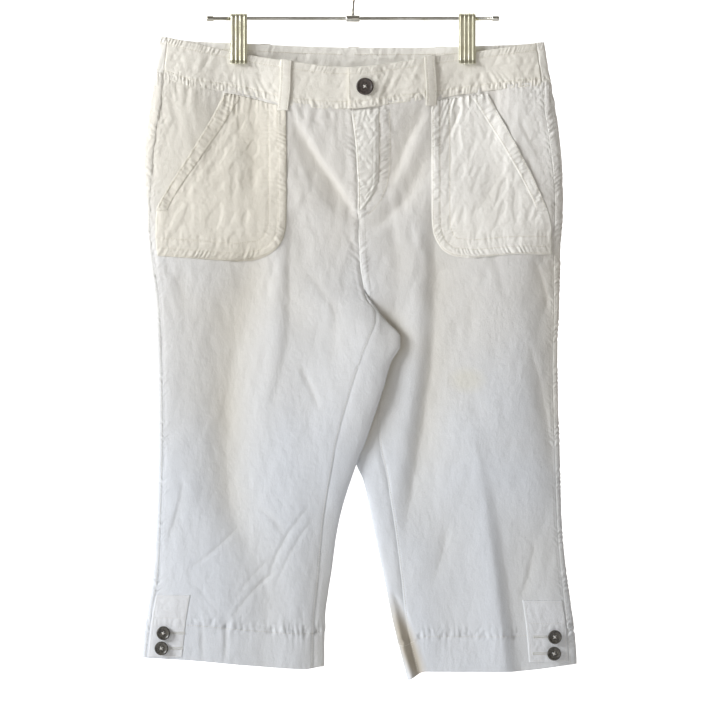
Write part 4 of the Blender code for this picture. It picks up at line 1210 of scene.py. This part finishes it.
fly_twill = washed_twill("fly_twill", (0.91, 0.90, 0.865), (0.91, 0.905, 0.88))
nominal = np.linspace(FLY_TOP, FLY_END, 100)[:, None]
near, far = smooth(FLY_ROWS, 1, nominal) + 0.4, smooth(FLY_ROWS, 2, nominal)
x = near + (far - near) * np.linspace(0, 1, 28)[None, :]
drop = below_seam(LEFT, x, nominal + 0 * x, FLY_TOP, FLY_LEVEL, SEW_DOWN)
points, outs = fly_skin(LEFT, x, drop)
piece = patch("fly", points, fly_twill, FLY_WALL)
fly_rows = [(points[3:-4, 2], outs[3:-4, 2])]
sewn_line = np.array(FLY_STITCHING)
middle = read_at(np.linspace(0, 1, 60), run_along(sewn_line) / FLY_ROW_REACH, sewn_line)
for away in (-FLY_ROW, FLY_ROW):
    fly_rows.append(as_row(inset_line(middle, away)[2:-3], by_fly_skin, LEFT))
stitch("fly_stitches", fly_rows, cream_thread)


# ---- Waistband ----------------------------------------------------------------
# A folded and interfaced band in three lengths, two fronts and a back, sewn to
# the panels and stitched along both edges. The left front ends in a tab that
# laps over the right one. The rows of stitches draw it into fine ribs.
BAND_WALL, BAND_PROUD = 2.2, 0.4
TAB_UNDERLAP, TAB_EDGE_X = 30.0, -6.0
BAND_ROWS = 8.5, 42.0       # stitches, below the band's top edge
SIDE_TO_CENTRE = 245        # length of a band from the side seam to the centre
band_twill = washed_twill("band_twill", (0.90, 0.875, 0.81), (0.90, 0.875, 0.81))
# painted light: the back band's twill is lighter than the front bands', making up for the shade it
# lies in behind them
light_painted_back_band_twill = washed_twill("light_painted_back_band_twill", (0.97, 0.955, 0.91), (0.97, 0.955, 0.91))
BAND_PROFILE = (
    # nominal, depth into the band's wall
    *((nominal, 0.0) for nominal in np.linspace(50.2, 0.8, 42)),
    (0.25, 0.2),
    (0.0, 0.7),
    (0.0, 1.5),
    (0.25, 2.0),
    *((nominal, 2.2) for nominal in np.linspace(0.8, 50.2, 30)),
    (50.8, 1.9),
    (51.0, 1.1),
    (50.8, 0.3),
)


def tab_raise(x):
    """The tab lies on the right band's end, over the underlap."""
    end = TAB_EDGE_X + TAB_UNDERLAP
    return (BAND_WALL + 0.4) * (1 - ramp(x, end + 2, end + 24))


def band_relief(x, nominal, seed):
    """Ribs that the stitching draws up, and the gathers under the clips."""
    height = 0.5 * ripple(x + 0.5 * nominal, 4.4, seed) * hump(nominal - 4, 4.5)
    height += 0.6 * ripple(x, 4.6, seed + 1) * hump(nominal - 46.5, 4.8)
    height += 0.5 * crinkle(x, nominal, 8, seed + 2) * hump(nominal - 45, 7)
    for row in BAND_ROWS:
        height -= 0.45 * hump(nominal - row, 1.1)
    height += 0.4 * ripple(x + nominal * 0.4, 21, seed + 2) * hump(nominal - 26, 15)
    height += 0.12 * ripple(nominal + x * 0.12, 11, seed) + 0.3 * crinkle(x, nominal, 15, seed)
    height += 0.5 * crinkle(x, nominal, 11, seed + 1) * hump(x - 40, 22)
    for clip in (-CLIP_X, CLIP_X):
        fan = (x - clip) * 40 / (20 + nominal)
        height += 0.5 * ripple(fan, 6.5, seed) * hump(fan, 40) * ramp(nominal, 18, 44)
        held = (1 - ramp(abs(x - clip), 10, 17)) * (1 - ramp(nominal, 14, 24))
        height = height * (1 - 0.85 * held)
    return height


def band_skin(half, face, share, nominal, depth=0.0):
    """Point of a band at a share of the way from the side seam; a front's
    shares 1 to 2 run on from the centre seam to its lapped end."""
    share, nominal, depth = np.broadcast_arrays(share, nominal, depth)
    top_column = FRONT_TOP if face == "front" else BACK_TOP
    end_x = TAB_EDGE_X + TAB_UNDERLAP if half is RIGHT else TAB_EDGE_X

    def turn_at(drop):
        if face == "back":
            return half.back_turn(share, drop)
        turn = half.front_turn(np.minimum(share, 1), drop)
        return turn + (half.turn_at(end_x, drop) - turn) * np.maximum(share - 1, 0)

    x = half.point(turn_at(nominal), nominal)[0]
    top, seam = band_edge(half, top_column, x), band_edge(half, top_column + 1, x)
    drop = top + (seam - top) * nominal / TOP_ROW
    seed = {"front": 1.0, "back": 4.0}[face] + half.side
    out = BAND_PROUD - depth + band_relief(x, nominal, seed)
    if face == "front" and half is LEFT:
        out = out + tab_raise(x)
    side_sunk = 0.9 * hump(np.minimum(share, 1) * SIDE_TO_CENTRE, 1.5)
    turn = turn_at(drop)
    normal = half.skin(turn, drop)[1]
    flat = np.stack([*half.point(turn, drop), drop], -1)
    return flat + normal * (out - side_sunk)[..., None], normal


def finish_band(name, points, twill=band_twill):
    """A length of the band, which the clips hold."""
    piece = cloth_mesh(name, points, twill, tube=True, painted_shade=np.zeros(points.shape[:2]))
    stands_for(piece, name)


nominal, depth = np.hsplit(np.array(BAND_PROFILE), 2)
fine = np.r_[0, 0.004, np.linspace(0.01, 1, 225)]
band_rows = []
for name, half, lap, bare, length in (
    # name, half, columns in the lap, columns without stitches at its end, length
    ("waistband_front_right", RIGHT, 26, 24, 0.27),
    ("waistband_front_left", LEFT, 4, 2, 0.25),
):
    share = np.r_[fine, 1 + np.linspace(0, 1, lap + 1)[1:]]
    points = band_skin(half, "front", share[None, :], nominal, depth)[0]
    finish_band(name, points)
    for row in BAND_ROWS:
        band_rows.append(band_skin(half, "front", share[3:-bare], row))
band_rows.append(band_skin(LEFT, "front", 1.0, np.linspace(2.5, 49, 50)))
both = []
for half, share in ((RIGHT, fine[:-1]), (LEFT, fine[::-1])):
    both.append(band_skin(half, "back", share[None, :], nominal, depth)[0])
    for row in BAND_ROWS:
        band_rows.append(band_skin(half, "back", share[3:-3], row))
        inner, outs = band_skin(half, "back", share[3:-3], row, BAND_WALL)
        band_rows.append((inner, -outs))
finish_band("waistband_back", np.concatenate(both, axis=1), light_painted_back_band_twill)
stitch("band_stitches", band_rows, cream_thread)


# ---- Belt loops -----------------------------------------------------------------
# Five strips of folded twill, stitched along both edges, tacked down at the
# band's top edge and below the waist seam, and free of the band between.
LOOP_WIDTH, LOOP_WALL, LOOP_LIFT = 14.0, 1.1, 1.0
LOOP_SECTION = (
    # share of the half width, share of the thickness
    (-1.0, 0.5), (-0.97, 0.85), (-0.90, 1.0), (-0.72, 1.12), (-0.62, 0.9), (-0.52, 1.1),
    (-0.25, 1.15), (0.0, 1.1), (0.25, 1.15), (0.52, 1.1), (0.62, 0.9), (0.72, 1.12),
    (0.90, 1.0), (0.97, 0.85), (1.0, 0.5), (0.97, 0.15), (0.9, 0.0), (0.3, 0.0),
    (-0.3, 0.0), (-0.9, 0.0), (-0.97, 0.15),
)
LOOP_GROOVES = 4, 10        # places in the section where the stitches run


def belt_loop(name, half, x_top, x_bottom, face):
    """A strip bowed out between its two tacks. Its rows of stitches are kept."""
    top_column, away = (FRONT_TOP, -1) if face == "front" else (BACK_TOP, 1)
    top = band_edge(half, top_column, x_top) - 1.0
    bottom = band_edge(half, top_column + 1, x_bottom) + 8.0
    share = np.linspace(0, 1, 44)
    aside, wall = np.hsplit(np.array(LOOP_SECTION), 2)
    drop = (top + (bottom - top) * share)[None, :] + 0 * aside
    sway = 0.5 * np.sin(7 * share + x_top)
    x = (x_top + (x_bottom - x_top) * share + sway)[None, :] + aside * LOOP_WIDTH / 2
    slope = band_edge(half, top_column, x) - band_edge(half, top_column, x_top)
    drop = drop + slope * (1 - share)
    tacked = hump(share - 0.04, 0.03) + hump(share - 0.93, 0.03)
    lift = LOOP_LIFT + 0.8 * np.sin(np.pi * share) ** 0.6
    lift = lift + 0.25 * ripple(share * 66, 9, x_top) - 0.4 * tacked
    lift = lift[None, :] + wall * LOOP_WALL
    turn = half.turn_at(x, drop)
    px, py = half.point(turn if face == "front" else -turn, drop)
    points = np.stack([px, py + away * lift, drop], -1)
    piece = cloth_mesh(name, points, band_twill, tube=True, painted_shade=0 * x)
    stands_for(piece, name)
    outs = np.tile([0.0, away, 0.0], (len(share) - 2, 1))
    return [(points[groove][1:-1], outs) for groove in LOOP_GROOVES]


loop_rows = []
for name, half, x_top, x_bottom, face in (
    ("belt_loop_front_right", RIGHT, -84, -88.5, "front"),
    ("belt_loop_front_left", LEFT, 98, 100, "front"),
    ("belt_loop_back_right", RIGHT, -112, -112, "back"),
    ("belt_loop_back_centre", LEFT, 0.5, 0.5, "back"),
    ("belt_loop_back_left", LEFT, 112, 112, "back"),
):
    loop_rows += belt_loop(name, half, x_top, x_bottom, face)
stitch("loop_stitches", loop_rows, cream_thread)


# ---- Hem tabs -------------------------------------------------------------------
# A strip of twill on the outside of each hem, boxed in stitching, with two
# worked buttonholes and two buttons. It drags small creases into the hem.
TAB_LIFT, TAB_WALL = 0.45, 0.15
tab_twill = washed_twill("tab_twill", UPPER_WHITE, (0.775, 0.80, 0.85), LEG_WALE)


def tab_skin(half, x, drop, outline):
    """Outer face of a tab: pressed down at its edges and along its stitches."""
    x_out, x_in, top, bottom = outline
    shift = half.outer(drop) - half.outer((top + bottom) / 2)
    edges = np.minimum(np.minimum(abs(x - shift - x_out), abs(x - shift - x_in)),
                       np.minimum(drop - top, bottom - drop))
    edges = np.maximum(edges, 0)
    lift = TAB_LIFT - 0.2 * hump(edges - 2.6, 0.8) - 0.2 * hump(edges, 1.2)
    lift = lift + 0.22 * crinkle(x, drop, 10, 2.0 + half.side) * ramp(edges, 0, 3)
    lift = lift + 0.3 * ripple(x, 6.6, 1.0) * hump(bottom - drop - HEM_TURN_UP, 5)
    return on_cloth(half, x, drop, np.maximum(lift, 0.22))


HEM_TABS = (
    # name, half, outer x, inner x, top, bottom
    ("hem_tab_right", RIGHT, -256, -212, 709, 788),
    ("hem_tab_left", LEFT, 271, 220, 716, 795),
)
TAB_ROWS = ((2, slice(2, -2)), (-3, slice(2, -2)), (slice(2, -2), 2), (slice(2, -2), -3),
            (22, slice(2, -2)))     # its box of stitches, and one row across
tab_rows = []
for name, half, x_out, x_in, top, bottom in HEM_TABS:
    drop = np.linspace(top, bottom, 60)[:, None] + np.zeros((1, 36))
    shift = half.outer(drop) - half.outer((top + bottom) / 2)
    x = x_out + (x_in - x_out) * np.linspace(0, 1, 36)[None, :] + shift
    points, outs = tab_skin(half, x, drop, (x_out, x_in, top, bottom))
    piece = patch(name, points, tab_twill, TAB_WALL)
    tab_rows += [(points[row], outs[row]) for row in TAB_ROWS]
stitch("tab_stitches", tab_rows, white_thread, radius=FINE_THREAD)


# ---- Buttons --------------------------------------------------------------------
# Dark horn-like resin buttons with a raised rim and four holes, one of 22 mm at
# the waist and two of 17.6 mm on each hem tab, sewn on with a cross of thread.
WAIST_BUTTON, HEM_BUTTON = 22.0, 17.6
WAIST_SEAT, HEM_SEAT = 4.0, 2.7         # height of a button's back off the cloth below
HOLE_FROM, HOLE_TO = 6.0, 25.5          # a buttonhole's ends, inward from its button
SATIN_APART, SATIN_LENGTH = 0.5, 1.4
HOLE_RADIUS, HOLE_RING = 0.95, 0.11     # the ring is a share of the button's width
BUTTON_THREAD, STRAND_APART = 2.25, 0.42
BUTTON_PROFILE = (
    # share of the radius, height
    (0.55, 0.0), (0.86, 0.15), (0.97, 0.7), (1, 1.4), (0.99, 2.0), (0.96, 2.6), (0.91, 2.95),
    (0.85, 3.0), (0.79, 2.8), (0.73, 2.35), (0.66, 2.1), (0.5, 2.0), (0.25, 1.95),
)


def horn_material(name, dark, light, amount):
    """Clouded resin, streaked lighter in places, with a satin gloss."""
    material, tree, shader, place = new_material(name)
    streaks = noise(tree, place, 260.0, Detail=5.0, Roughness=0.6, Distortion=1.6)
    scratch = noise(tree, place, 1400.0, Detail=2.0)
    feed(tree, shader, {
        "Base Color": mix_colour(tree, remap(tree, streaks, 0.42, 0.68, 0.0, amount), dark, light),
        "Roughness": remap(tree, scratch, 0.0, 1.0, 0.28, 0.46),
        "Normal": bump(tree, scratch, 0.2, 0.0001),
        "Coat Weight": 0.25,
    })
    return material


def turned_mesh(name, profile, segments):
    """Faces turned about Z from (radius, height) rows in millimetres."""
    angle = np.arange(segments) * 2 * math.pi / segments
    radius, height = np.hsplit(np.array(profile, float), 2)
    ring = np.stack([radius * np.cos(angle), radius * np.sin(angle), height + 0 * angle], -1)
    walls, ends = tube_faces(len(profile), segments)
    mesh = bpy.data.meshes.new(name)
    mesh.from_pydata((ring.reshape(-1, 3) * 0.001).tolist(), [], walls.tolist() + ends.tolist())
    return mesh


def upright_on(place, out):
    """Matrix that sets something made about +Z square on the cloth, upright."""
    out = Vector((out[0], out[1], -out[2])).normalized()
    right = Vector((0, 0, 1)).cross(out).normalized()
    matrix = Matrix((right, out.cross(right), out)).transposed().to_4x4()
    matrix.translation = in_metres(place).tolist()
    return matrix


def bore_holes(piece, spots):
    """Cuts a round hole through a button at each spot, and rounds its shading."""
    cutters = []
    for x, y in spots:
        mesh = turned_mesh("hole", [(HOLE_RADIUS, -1), (HOLE_RADIUS, 5)], 20)
        cutter = bpy.data.objects.new("hole", mesh)
        cutter.location = (x * 0.001, y * 0.001, 0)
        bpy.context.scene.collection.objects.link(cutter)
        bore = piece.modifiers.new("hole", "BOOLEAN")
        bore.operation, bore.solver, bore.object = "DIFFERENCE", "EXACT", cutter
        cutters.append(cutter)
    bpy.context.view_layer.update()
    seen = piece.evaluated_get(bpy.context.evaluated_depsgraph_get())
    bored = bpy.data.meshes.new_from_object(seen)
    piece.modifiers.clear()
    piece.data = bored
    for cutter in cutters:
        bpy.data.objects.remove(cutter)
    bored.shade_smooth()
    bored.set_sharp_from_angle(angle=math.radians(38))


def sewn_button(name, place, out, diameter, material, spin):
    """A turned button with four bored holes, and the crossed threads in them."""
    profile = [(share * diameter / 2, height) for share, height in BUTTON_PROFILE]
    piece = new_piece(name, turned_mesh(name, profile, 64), material)
    corners = [math.radians(45 + 90 * quarter + spin) for quarter in range(4)]
    ring = diameter * HOLE_RING
    spots = [(ring * math.cos(angle), ring * math.sin(angle)) for angle in corners]
    bore_holes(piece, spots)
    matrix = upright_on(place, out)
    piece.data.transform(matrix)
    stands_for(piece, name)

    strands = []
    for first, last, rise in ((0, 2, 0.0), (1, 3, 0.3)):
        (ax, ay), (bx, by) = spots[first], spots[last]
        span = math.hypot(bx - ax, by - ay)
        dx, dy = (bx - ax) / span, (by - ay) / span
        for side in (-STRAND_APART, 0.0, STRAND_APART):
            ends = []
            for reach in (-0.001, span + 0.001):
                local = Vector((ax + dx * reach - dy * side, ay + dy * reach + dx * side,
                                BUTTON_THREAD + rise))
                at = matrix @ (local * 0.001)
                ends.append((at.x * 1000, at.y * 1000, -at.z * 1000 - WAIST_DROP))
            strands.append((ends, [out, out], span))
    return strands


def buttonhole(half, x0, x1, drop, skin):
    """Satin stitches side by side along both lips of a level slit."""
    ends = [((x, drop + way * 0.25), (x, drop + way * 1.75))
            for x in np.arange(x0, x1, SATIN_APART) for way in (-1, 1)]
    levels = np.arange(drop - 1.4, drop + 1.5, 0.4)
    ends += [((x, level), (x + way * 1.6, level))
             for x, way in ((x0, -1), (x1, 1)) for level in levels]
    ends = np.array(ends)
    points, outs = skin(half, ends[..., 0], ends[..., 1])
    return [(place, out, SATIN_LENGTH) for place, out in zip(points, outs)]


def lay_strands(name, strands, material, radius):
    """Threads of given lengths, as one mesh for each length."""
    lengths = sorted({round(length, 3) for _, _, length in strands})
    for number, length in enumerate(lengths):
        rows = [(ends, outs) for ends, outs, own in strands if round(own, 3) == length]
        label = name if len(lengths) == 1 else name + "_" + str(number)
        stitch(label, rows, material, pitch=99.0, length=length, radius=radius, lead=0.0)


waist_horn = horn_material("waist_horn", (0.035, 0.030, 0.030), (0.20, 0.15, 0.12), 0.5)
hem_horn = horn_material("hem_horn", (0.030, 0.028, 0.026), (0.17, 0.16, 0.13), 0.7)
button_thread = thread_material("button_thread", (0.72, 0.70, 0.66))
hole_thread = thread_material("buttonhole_thread", (0.74, 0.74, 0.72))
place, out = on_cloth(LEFT, np.array(15.1), np.array(65.5), WAIST_SEAT)
strands = sewn_button("waist_button", place, out, WAIST_BUTTON, waist_horn, 8)
lay_strands("waist_button_thread", strands, button_thread, 0.36)
hole_strands, button_strands = [], []
for name, half, x, drop, tab, spin in (
    ("hem_button_right_upper", RIGHT, -239.5, 757.3, HEM_TABS[0], 30),
    ("hem_button_right_lower", RIGHT, -242.0, 776.6, HEM_TABS[0], -14),
    ("hem_button_left_upper", LEFT, 255.5, 762.6, HEM_TABS[1], 4),
    ("hem_button_left_lower", LEFT, 254.5, 783.6, HEM_TABS[1], 20),
):
    place, out = on_cloth(half, np.array(x), np.array(drop), HEM_SEAT)
    button_strands += sewn_button(name, place, out, HEM_BUTTON, hem_horn, spin)
    ends = sorted((x - half.side * HOLE_FROM, x - half.side * HOLE_TO))
    hole_strands += buttonhole(half, *ends, drop,
                               lambda own, at, down: tab_skin(own, at, down, tab[2:]))
lay_strands("hem_button_threads", button_strands, button_thread, 0.32)
lay_strands("hem_buttonholes", hole_strands, hole_thread, 0.3)


# ---- Hanger ---------------------------------------------------------------------
# A plated steel rod with a round wire hook, and two sprung clips of ribbed
# strip bent over the rod, whose jaws hold the waistband.
BAR_DROP, BAR_RADIUS, BAR_END = -22.0, 2.5, 186.0
HOOK_INSIDE, WIRE = 18.0, 2.0
CLIP_WALL, RIB_HEIGHT, CLIP_RIBS, CLIP_BEND = 1.4, 0.9, 4, 5


def steel_material(name, colour, rough):
    """Plated steel, faintly brushed, and smudged, which darkens and dulls it in patches."""
    material, tree, shader, place = new_material(name)
    smudge = remap(tree, noise(tree, place, 90.0, Detail=4.0), 0.35, 0.75, 0.0, 1.0)
    dark = [part * share for part, share in zip(colour, (0.72, 0.70, 0.62))]
    brushed = node(tree, "Mapping", None, {"Vector": place, "Scale": (1.0, 1.0, 0.06)}).outputs[0]
    feed(tree, shader, {
        "Base Color": mix_colour(tree, smudge, colour, dark),
        "Roughness": remap(tree, smudge, 0.0, 1.0, rough, rough + 0.12),
        "Normal": bump(tree, noise(tree, brushed, 2500.0), 0.12, 0.00005),
        "Metallic": 1.0,
    })
    return material


bar_steel = steel_material("bar_steel", (0.70, 0.69, 0.66), 0.16)
clip_steel = steel_material("clip_steel", (0.88, 0.87, 0.70), 0.32)
HALF_BAR = (
    # radius, distance from the middle
    (4.4, 7.6),
    (4.1, 8.3),
    (3.0, 8.8),
    (BAR_RADIUS, 9.4),
    (BAR_RADIUS, BAR_END - 9.4),
    (3.0, BAR_END - 9.0),
    (3.5, BAR_END - 8.4),
    (3.6, BAR_END - 7.6),
    (3.6, BAR_END - 1.6),
    (3.3, BAR_END - 0.6),
    (2.4, BAR_END),
)
profile = [(radius, -along) for radius, along in reversed(HALF_BAR)] + list(HALF_BAR)
mesh = turned_mesh("hanger_bar", profile, 48)
to_bar = Matrix.Translation((0, 0, -(WAIST_DROP + BAR_DROP) * 0.001))
mesh.transform(to_bar @ Matrix.Rotation(math.pi / 2, 4, "Y"))
bar = new_piece("hanger_bar_rod", mesh, bar_steel)
stands_for(bar, "hanger_bar")

HOOK_STEM = (
    # x, z from the hook's seat
    (6.2, -39.2),
    (3.8, -41.5),
    (2.0, -43.9),
    (0.8, -46.5),
    (0.2, -49.0),
    (0.0, -52.0),
    (0.0, -58.0),
    (0.0, -65.3),
)
HOOK_TIP = 0.55, 0.85, 0.97     # shares of the wire's radius at its rounded end
turns = np.radians(np.linspace(205.0, -42.0, 60))
ring = (HOOK_INSIDE + WIRE) * np.stack([np.cos(turns), np.sin(turns)], 1)
path = np.concatenate([ring - [0, HOOK_INSIDE], HOOK_STEM])
ahead = np.gradient(path, axis=0)
ahead /= np.linalg.norm(ahead, axis=1, keepdims=True)
girth = np.full(len(path), WIRE)
girth[:3] *= HOOK_TIP
angle = np.linspace(0, 2 * math.pi, 25)[:-1][:, None]
x = path[:, 0] - ahead[:, 1] * girth * np.cos(angle)
z = path[:, 1] + ahead[:, 0] * girth * np.cos(angle)
points = np.stack([x, girth * np.sin(angle), -z - WAIST_DROP], -1)
hook = cloth_mesh("hanger_hook_wire", points, bar_steel, tube=True)
stands_for(hook, "hanger_hook")

CLIP_PATH = (
    # y, drop, and the way out of the strip (y, drop)
    (-6.9, 35.2, -0.9, 0.35),
    (-6.4, 34.6, -0.95, 0.1),
    (-5.4, 33.2, -0.9, -0.25),
    (-4.5, 31.6, -0.97, -0.15),
    (-4.25, 30.0, -1.0, 0.0),
    (-4.2, 22.0, -1.0, 0.0),
    (-4.2, 12.0, -1.0, 0.0),
    (-4.2, 2.0, -1.0, 0.0),
    (-4.3, -6.0, -1.0, 0.0),
    (-4.7, -14.0, -1.0, 0.0),
)
bend = [(-CLIP_BEND * math.cos(a), BAR_DROP - CLIP_BEND * math.sin(a), -math.cos(a), -math.sin(a))
        for a in np.linspace(0, math.pi, 15)]
far_jaw = [(-y, drop, -out_y, out_drop) for y, drop, out_y, out_drop in reversed(CLIP_PATH)]
path = np.array([*CLIP_PATH, *bend, *far_jaw])
across = np.linspace(-1, 1, 57)
ribs = RIB_HEIGHT * (np.maximum(np.cos(np.pi * across * CLIP_RIBS + np.pi), -0.2) + 1) / 2
section_x = (np.r_[across, across[::-1]] * CLIP_WIDTH / 2)[:, None]
out = np.r_[CLIP_WALL + ribs, 0 * ribs][:, None] + 0 * path[:, 0]
for name, middle in (("clip_right", -CLIP_X), ("clip_left", CLIP_X)):
    points = np.stack([middle + section_x + 0 * out, path[:, 0] + path[:, 2] * out,
                       path[:, 1] + path[:, 3] * out], -1)
    clip = cloth_mesh(name + "_strip", points, clip_steel, tube=True)
    stands_for(clip, name)


# ---- Floor, light and camera ------------------------------------------------------
# A matt white floor, and a wall that curves up from it and is clear from
# behind. A cool softbox hangs above and to one side, with a weak warm one in
# front, one behind for the back, and an even warm surround.
FLOOR_Z, FLOOR_END, BEND_RADIUS = -1.0, 0.35, 0.5
sweep = [(-6.0, FLOOR_Z), (FLOOR_END, FLOOR_Z)]
sweep += [(FLOOR_END + BEND_RADIUS * math.sin(a), FLOOR_Z + BEND_RADIUS * (1 - math.cos(a)))
          for a in np.linspace(0.1, math.pi / 2, 14)]
sweep += [(FLOOR_END + BEND_RADIUS, 3.5)]
places = [(x, y, z) for y, z in sweep for x in (-5.0, 5.0)]
faces = [(2 * k, 2 * k + 1, 2 * k + 3, 2 * k + 2) for k in range(len(sweep) - 1)]
paper, tree, shader, place = new_material("sweep_paper")
back = node(tree, "SeparateXYZ", None, {0: place}).outputs["Y"]
glow = node(tree, "MapRange", {"interpolation_type": "SMOOTHSTEP"},
            {"Value": back, 1: -0.1, 2: 0.25, 3: 0.0, 4: 0.75}).outputs[0]
feed(tree, shader, {
    "Base Color": mix_colour(tree, noise(tree, place, 60.0), (0.93,) * 3, (0.90,) * 3),
    "Roughness": 0.95,
    "Emission Color": (1, 1, 1, 1),
    "Emission Strength": glow,
})
behind = node(tree, "NewGeometry").outputs["Backfacing"]
clear = node(tree, "BsdfTransparent").outputs[0]
one_way = node(tree, "MixShader", None, {0: behind, 1: shader.outputs[0], 2: clear}).outputs[0]
feed(tree, tree.nodes["Material Output"], {"Surface": one_way})
for name, own in (("studio_floor", faces[:1]), ("studio_wall", faces[1:])):
    mesh = bpy.data.meshes.new(name)
    mesh.from_pydata(places, [], own)
    backdrop = new_piece(name, mesh, paper)
    backdrop.visible_diffuse = backdrop.visible_shadow = name == "studio_floor"

AIM = (0.0, 0.0, -0.5)
for name, place, size, power, colour in (
    # name, place, size, watts, colour
    ("key_softbox", (-4.7, -2.1, 1.5), 2.0, 300.0, (0.97, 0.985, 1.0)),
    ("fill_softbox", (0.6, -3.4, -0.1), 1.6, 4.0, (1.0, 0.95, 0.88)),
    ("back_softbox", (2.6, 3.6, 1.3), 2.0, 120.0, (1.0, 0.98, 0.95)),
):
    light = bpy.data.lights.new(name, "AREA")
    light.shape, light.size, light.energy, light.color = "SQUARE", size, power, colour
    lamp = bpy.data.objects.new(name, light)
    lamp.location = place
    lamp.rotation_euler = (Vector(AIM) - Vector(place)).to_track_quat("-Z", "Y").to_euler()
    bpy.context.scene.collection.objects.link(lamp)
world = bpy.context.scene.world or bpy.data.worlds.new("surround")
bpy.context.scene.world = world
world.use_nodes = True
surround = world.node_tree.nodes["Background"]
surround.inputs["Color"].default_value = (1.0, 0.93, 0.83, 1)
surround.inputs["Strength"].default_value = 0.20
bpy.context.scene.view_settings.view_transform = "Standard"

camera_data = bpy.data.cameras.new("camera")
camera_data.lens, camera_data.sensor_width = 177.18, 36.0
camera = bpy.data.objects.new("camera", camera_data)
camera.location = (0.0089, -4.5, -0.5035)
camera.rotation_euler = (math.pi / 2, 0.0, 0.0)
bpy.context.scene.collection.objects.link(camera)
bpy.context.scene.camera = camera
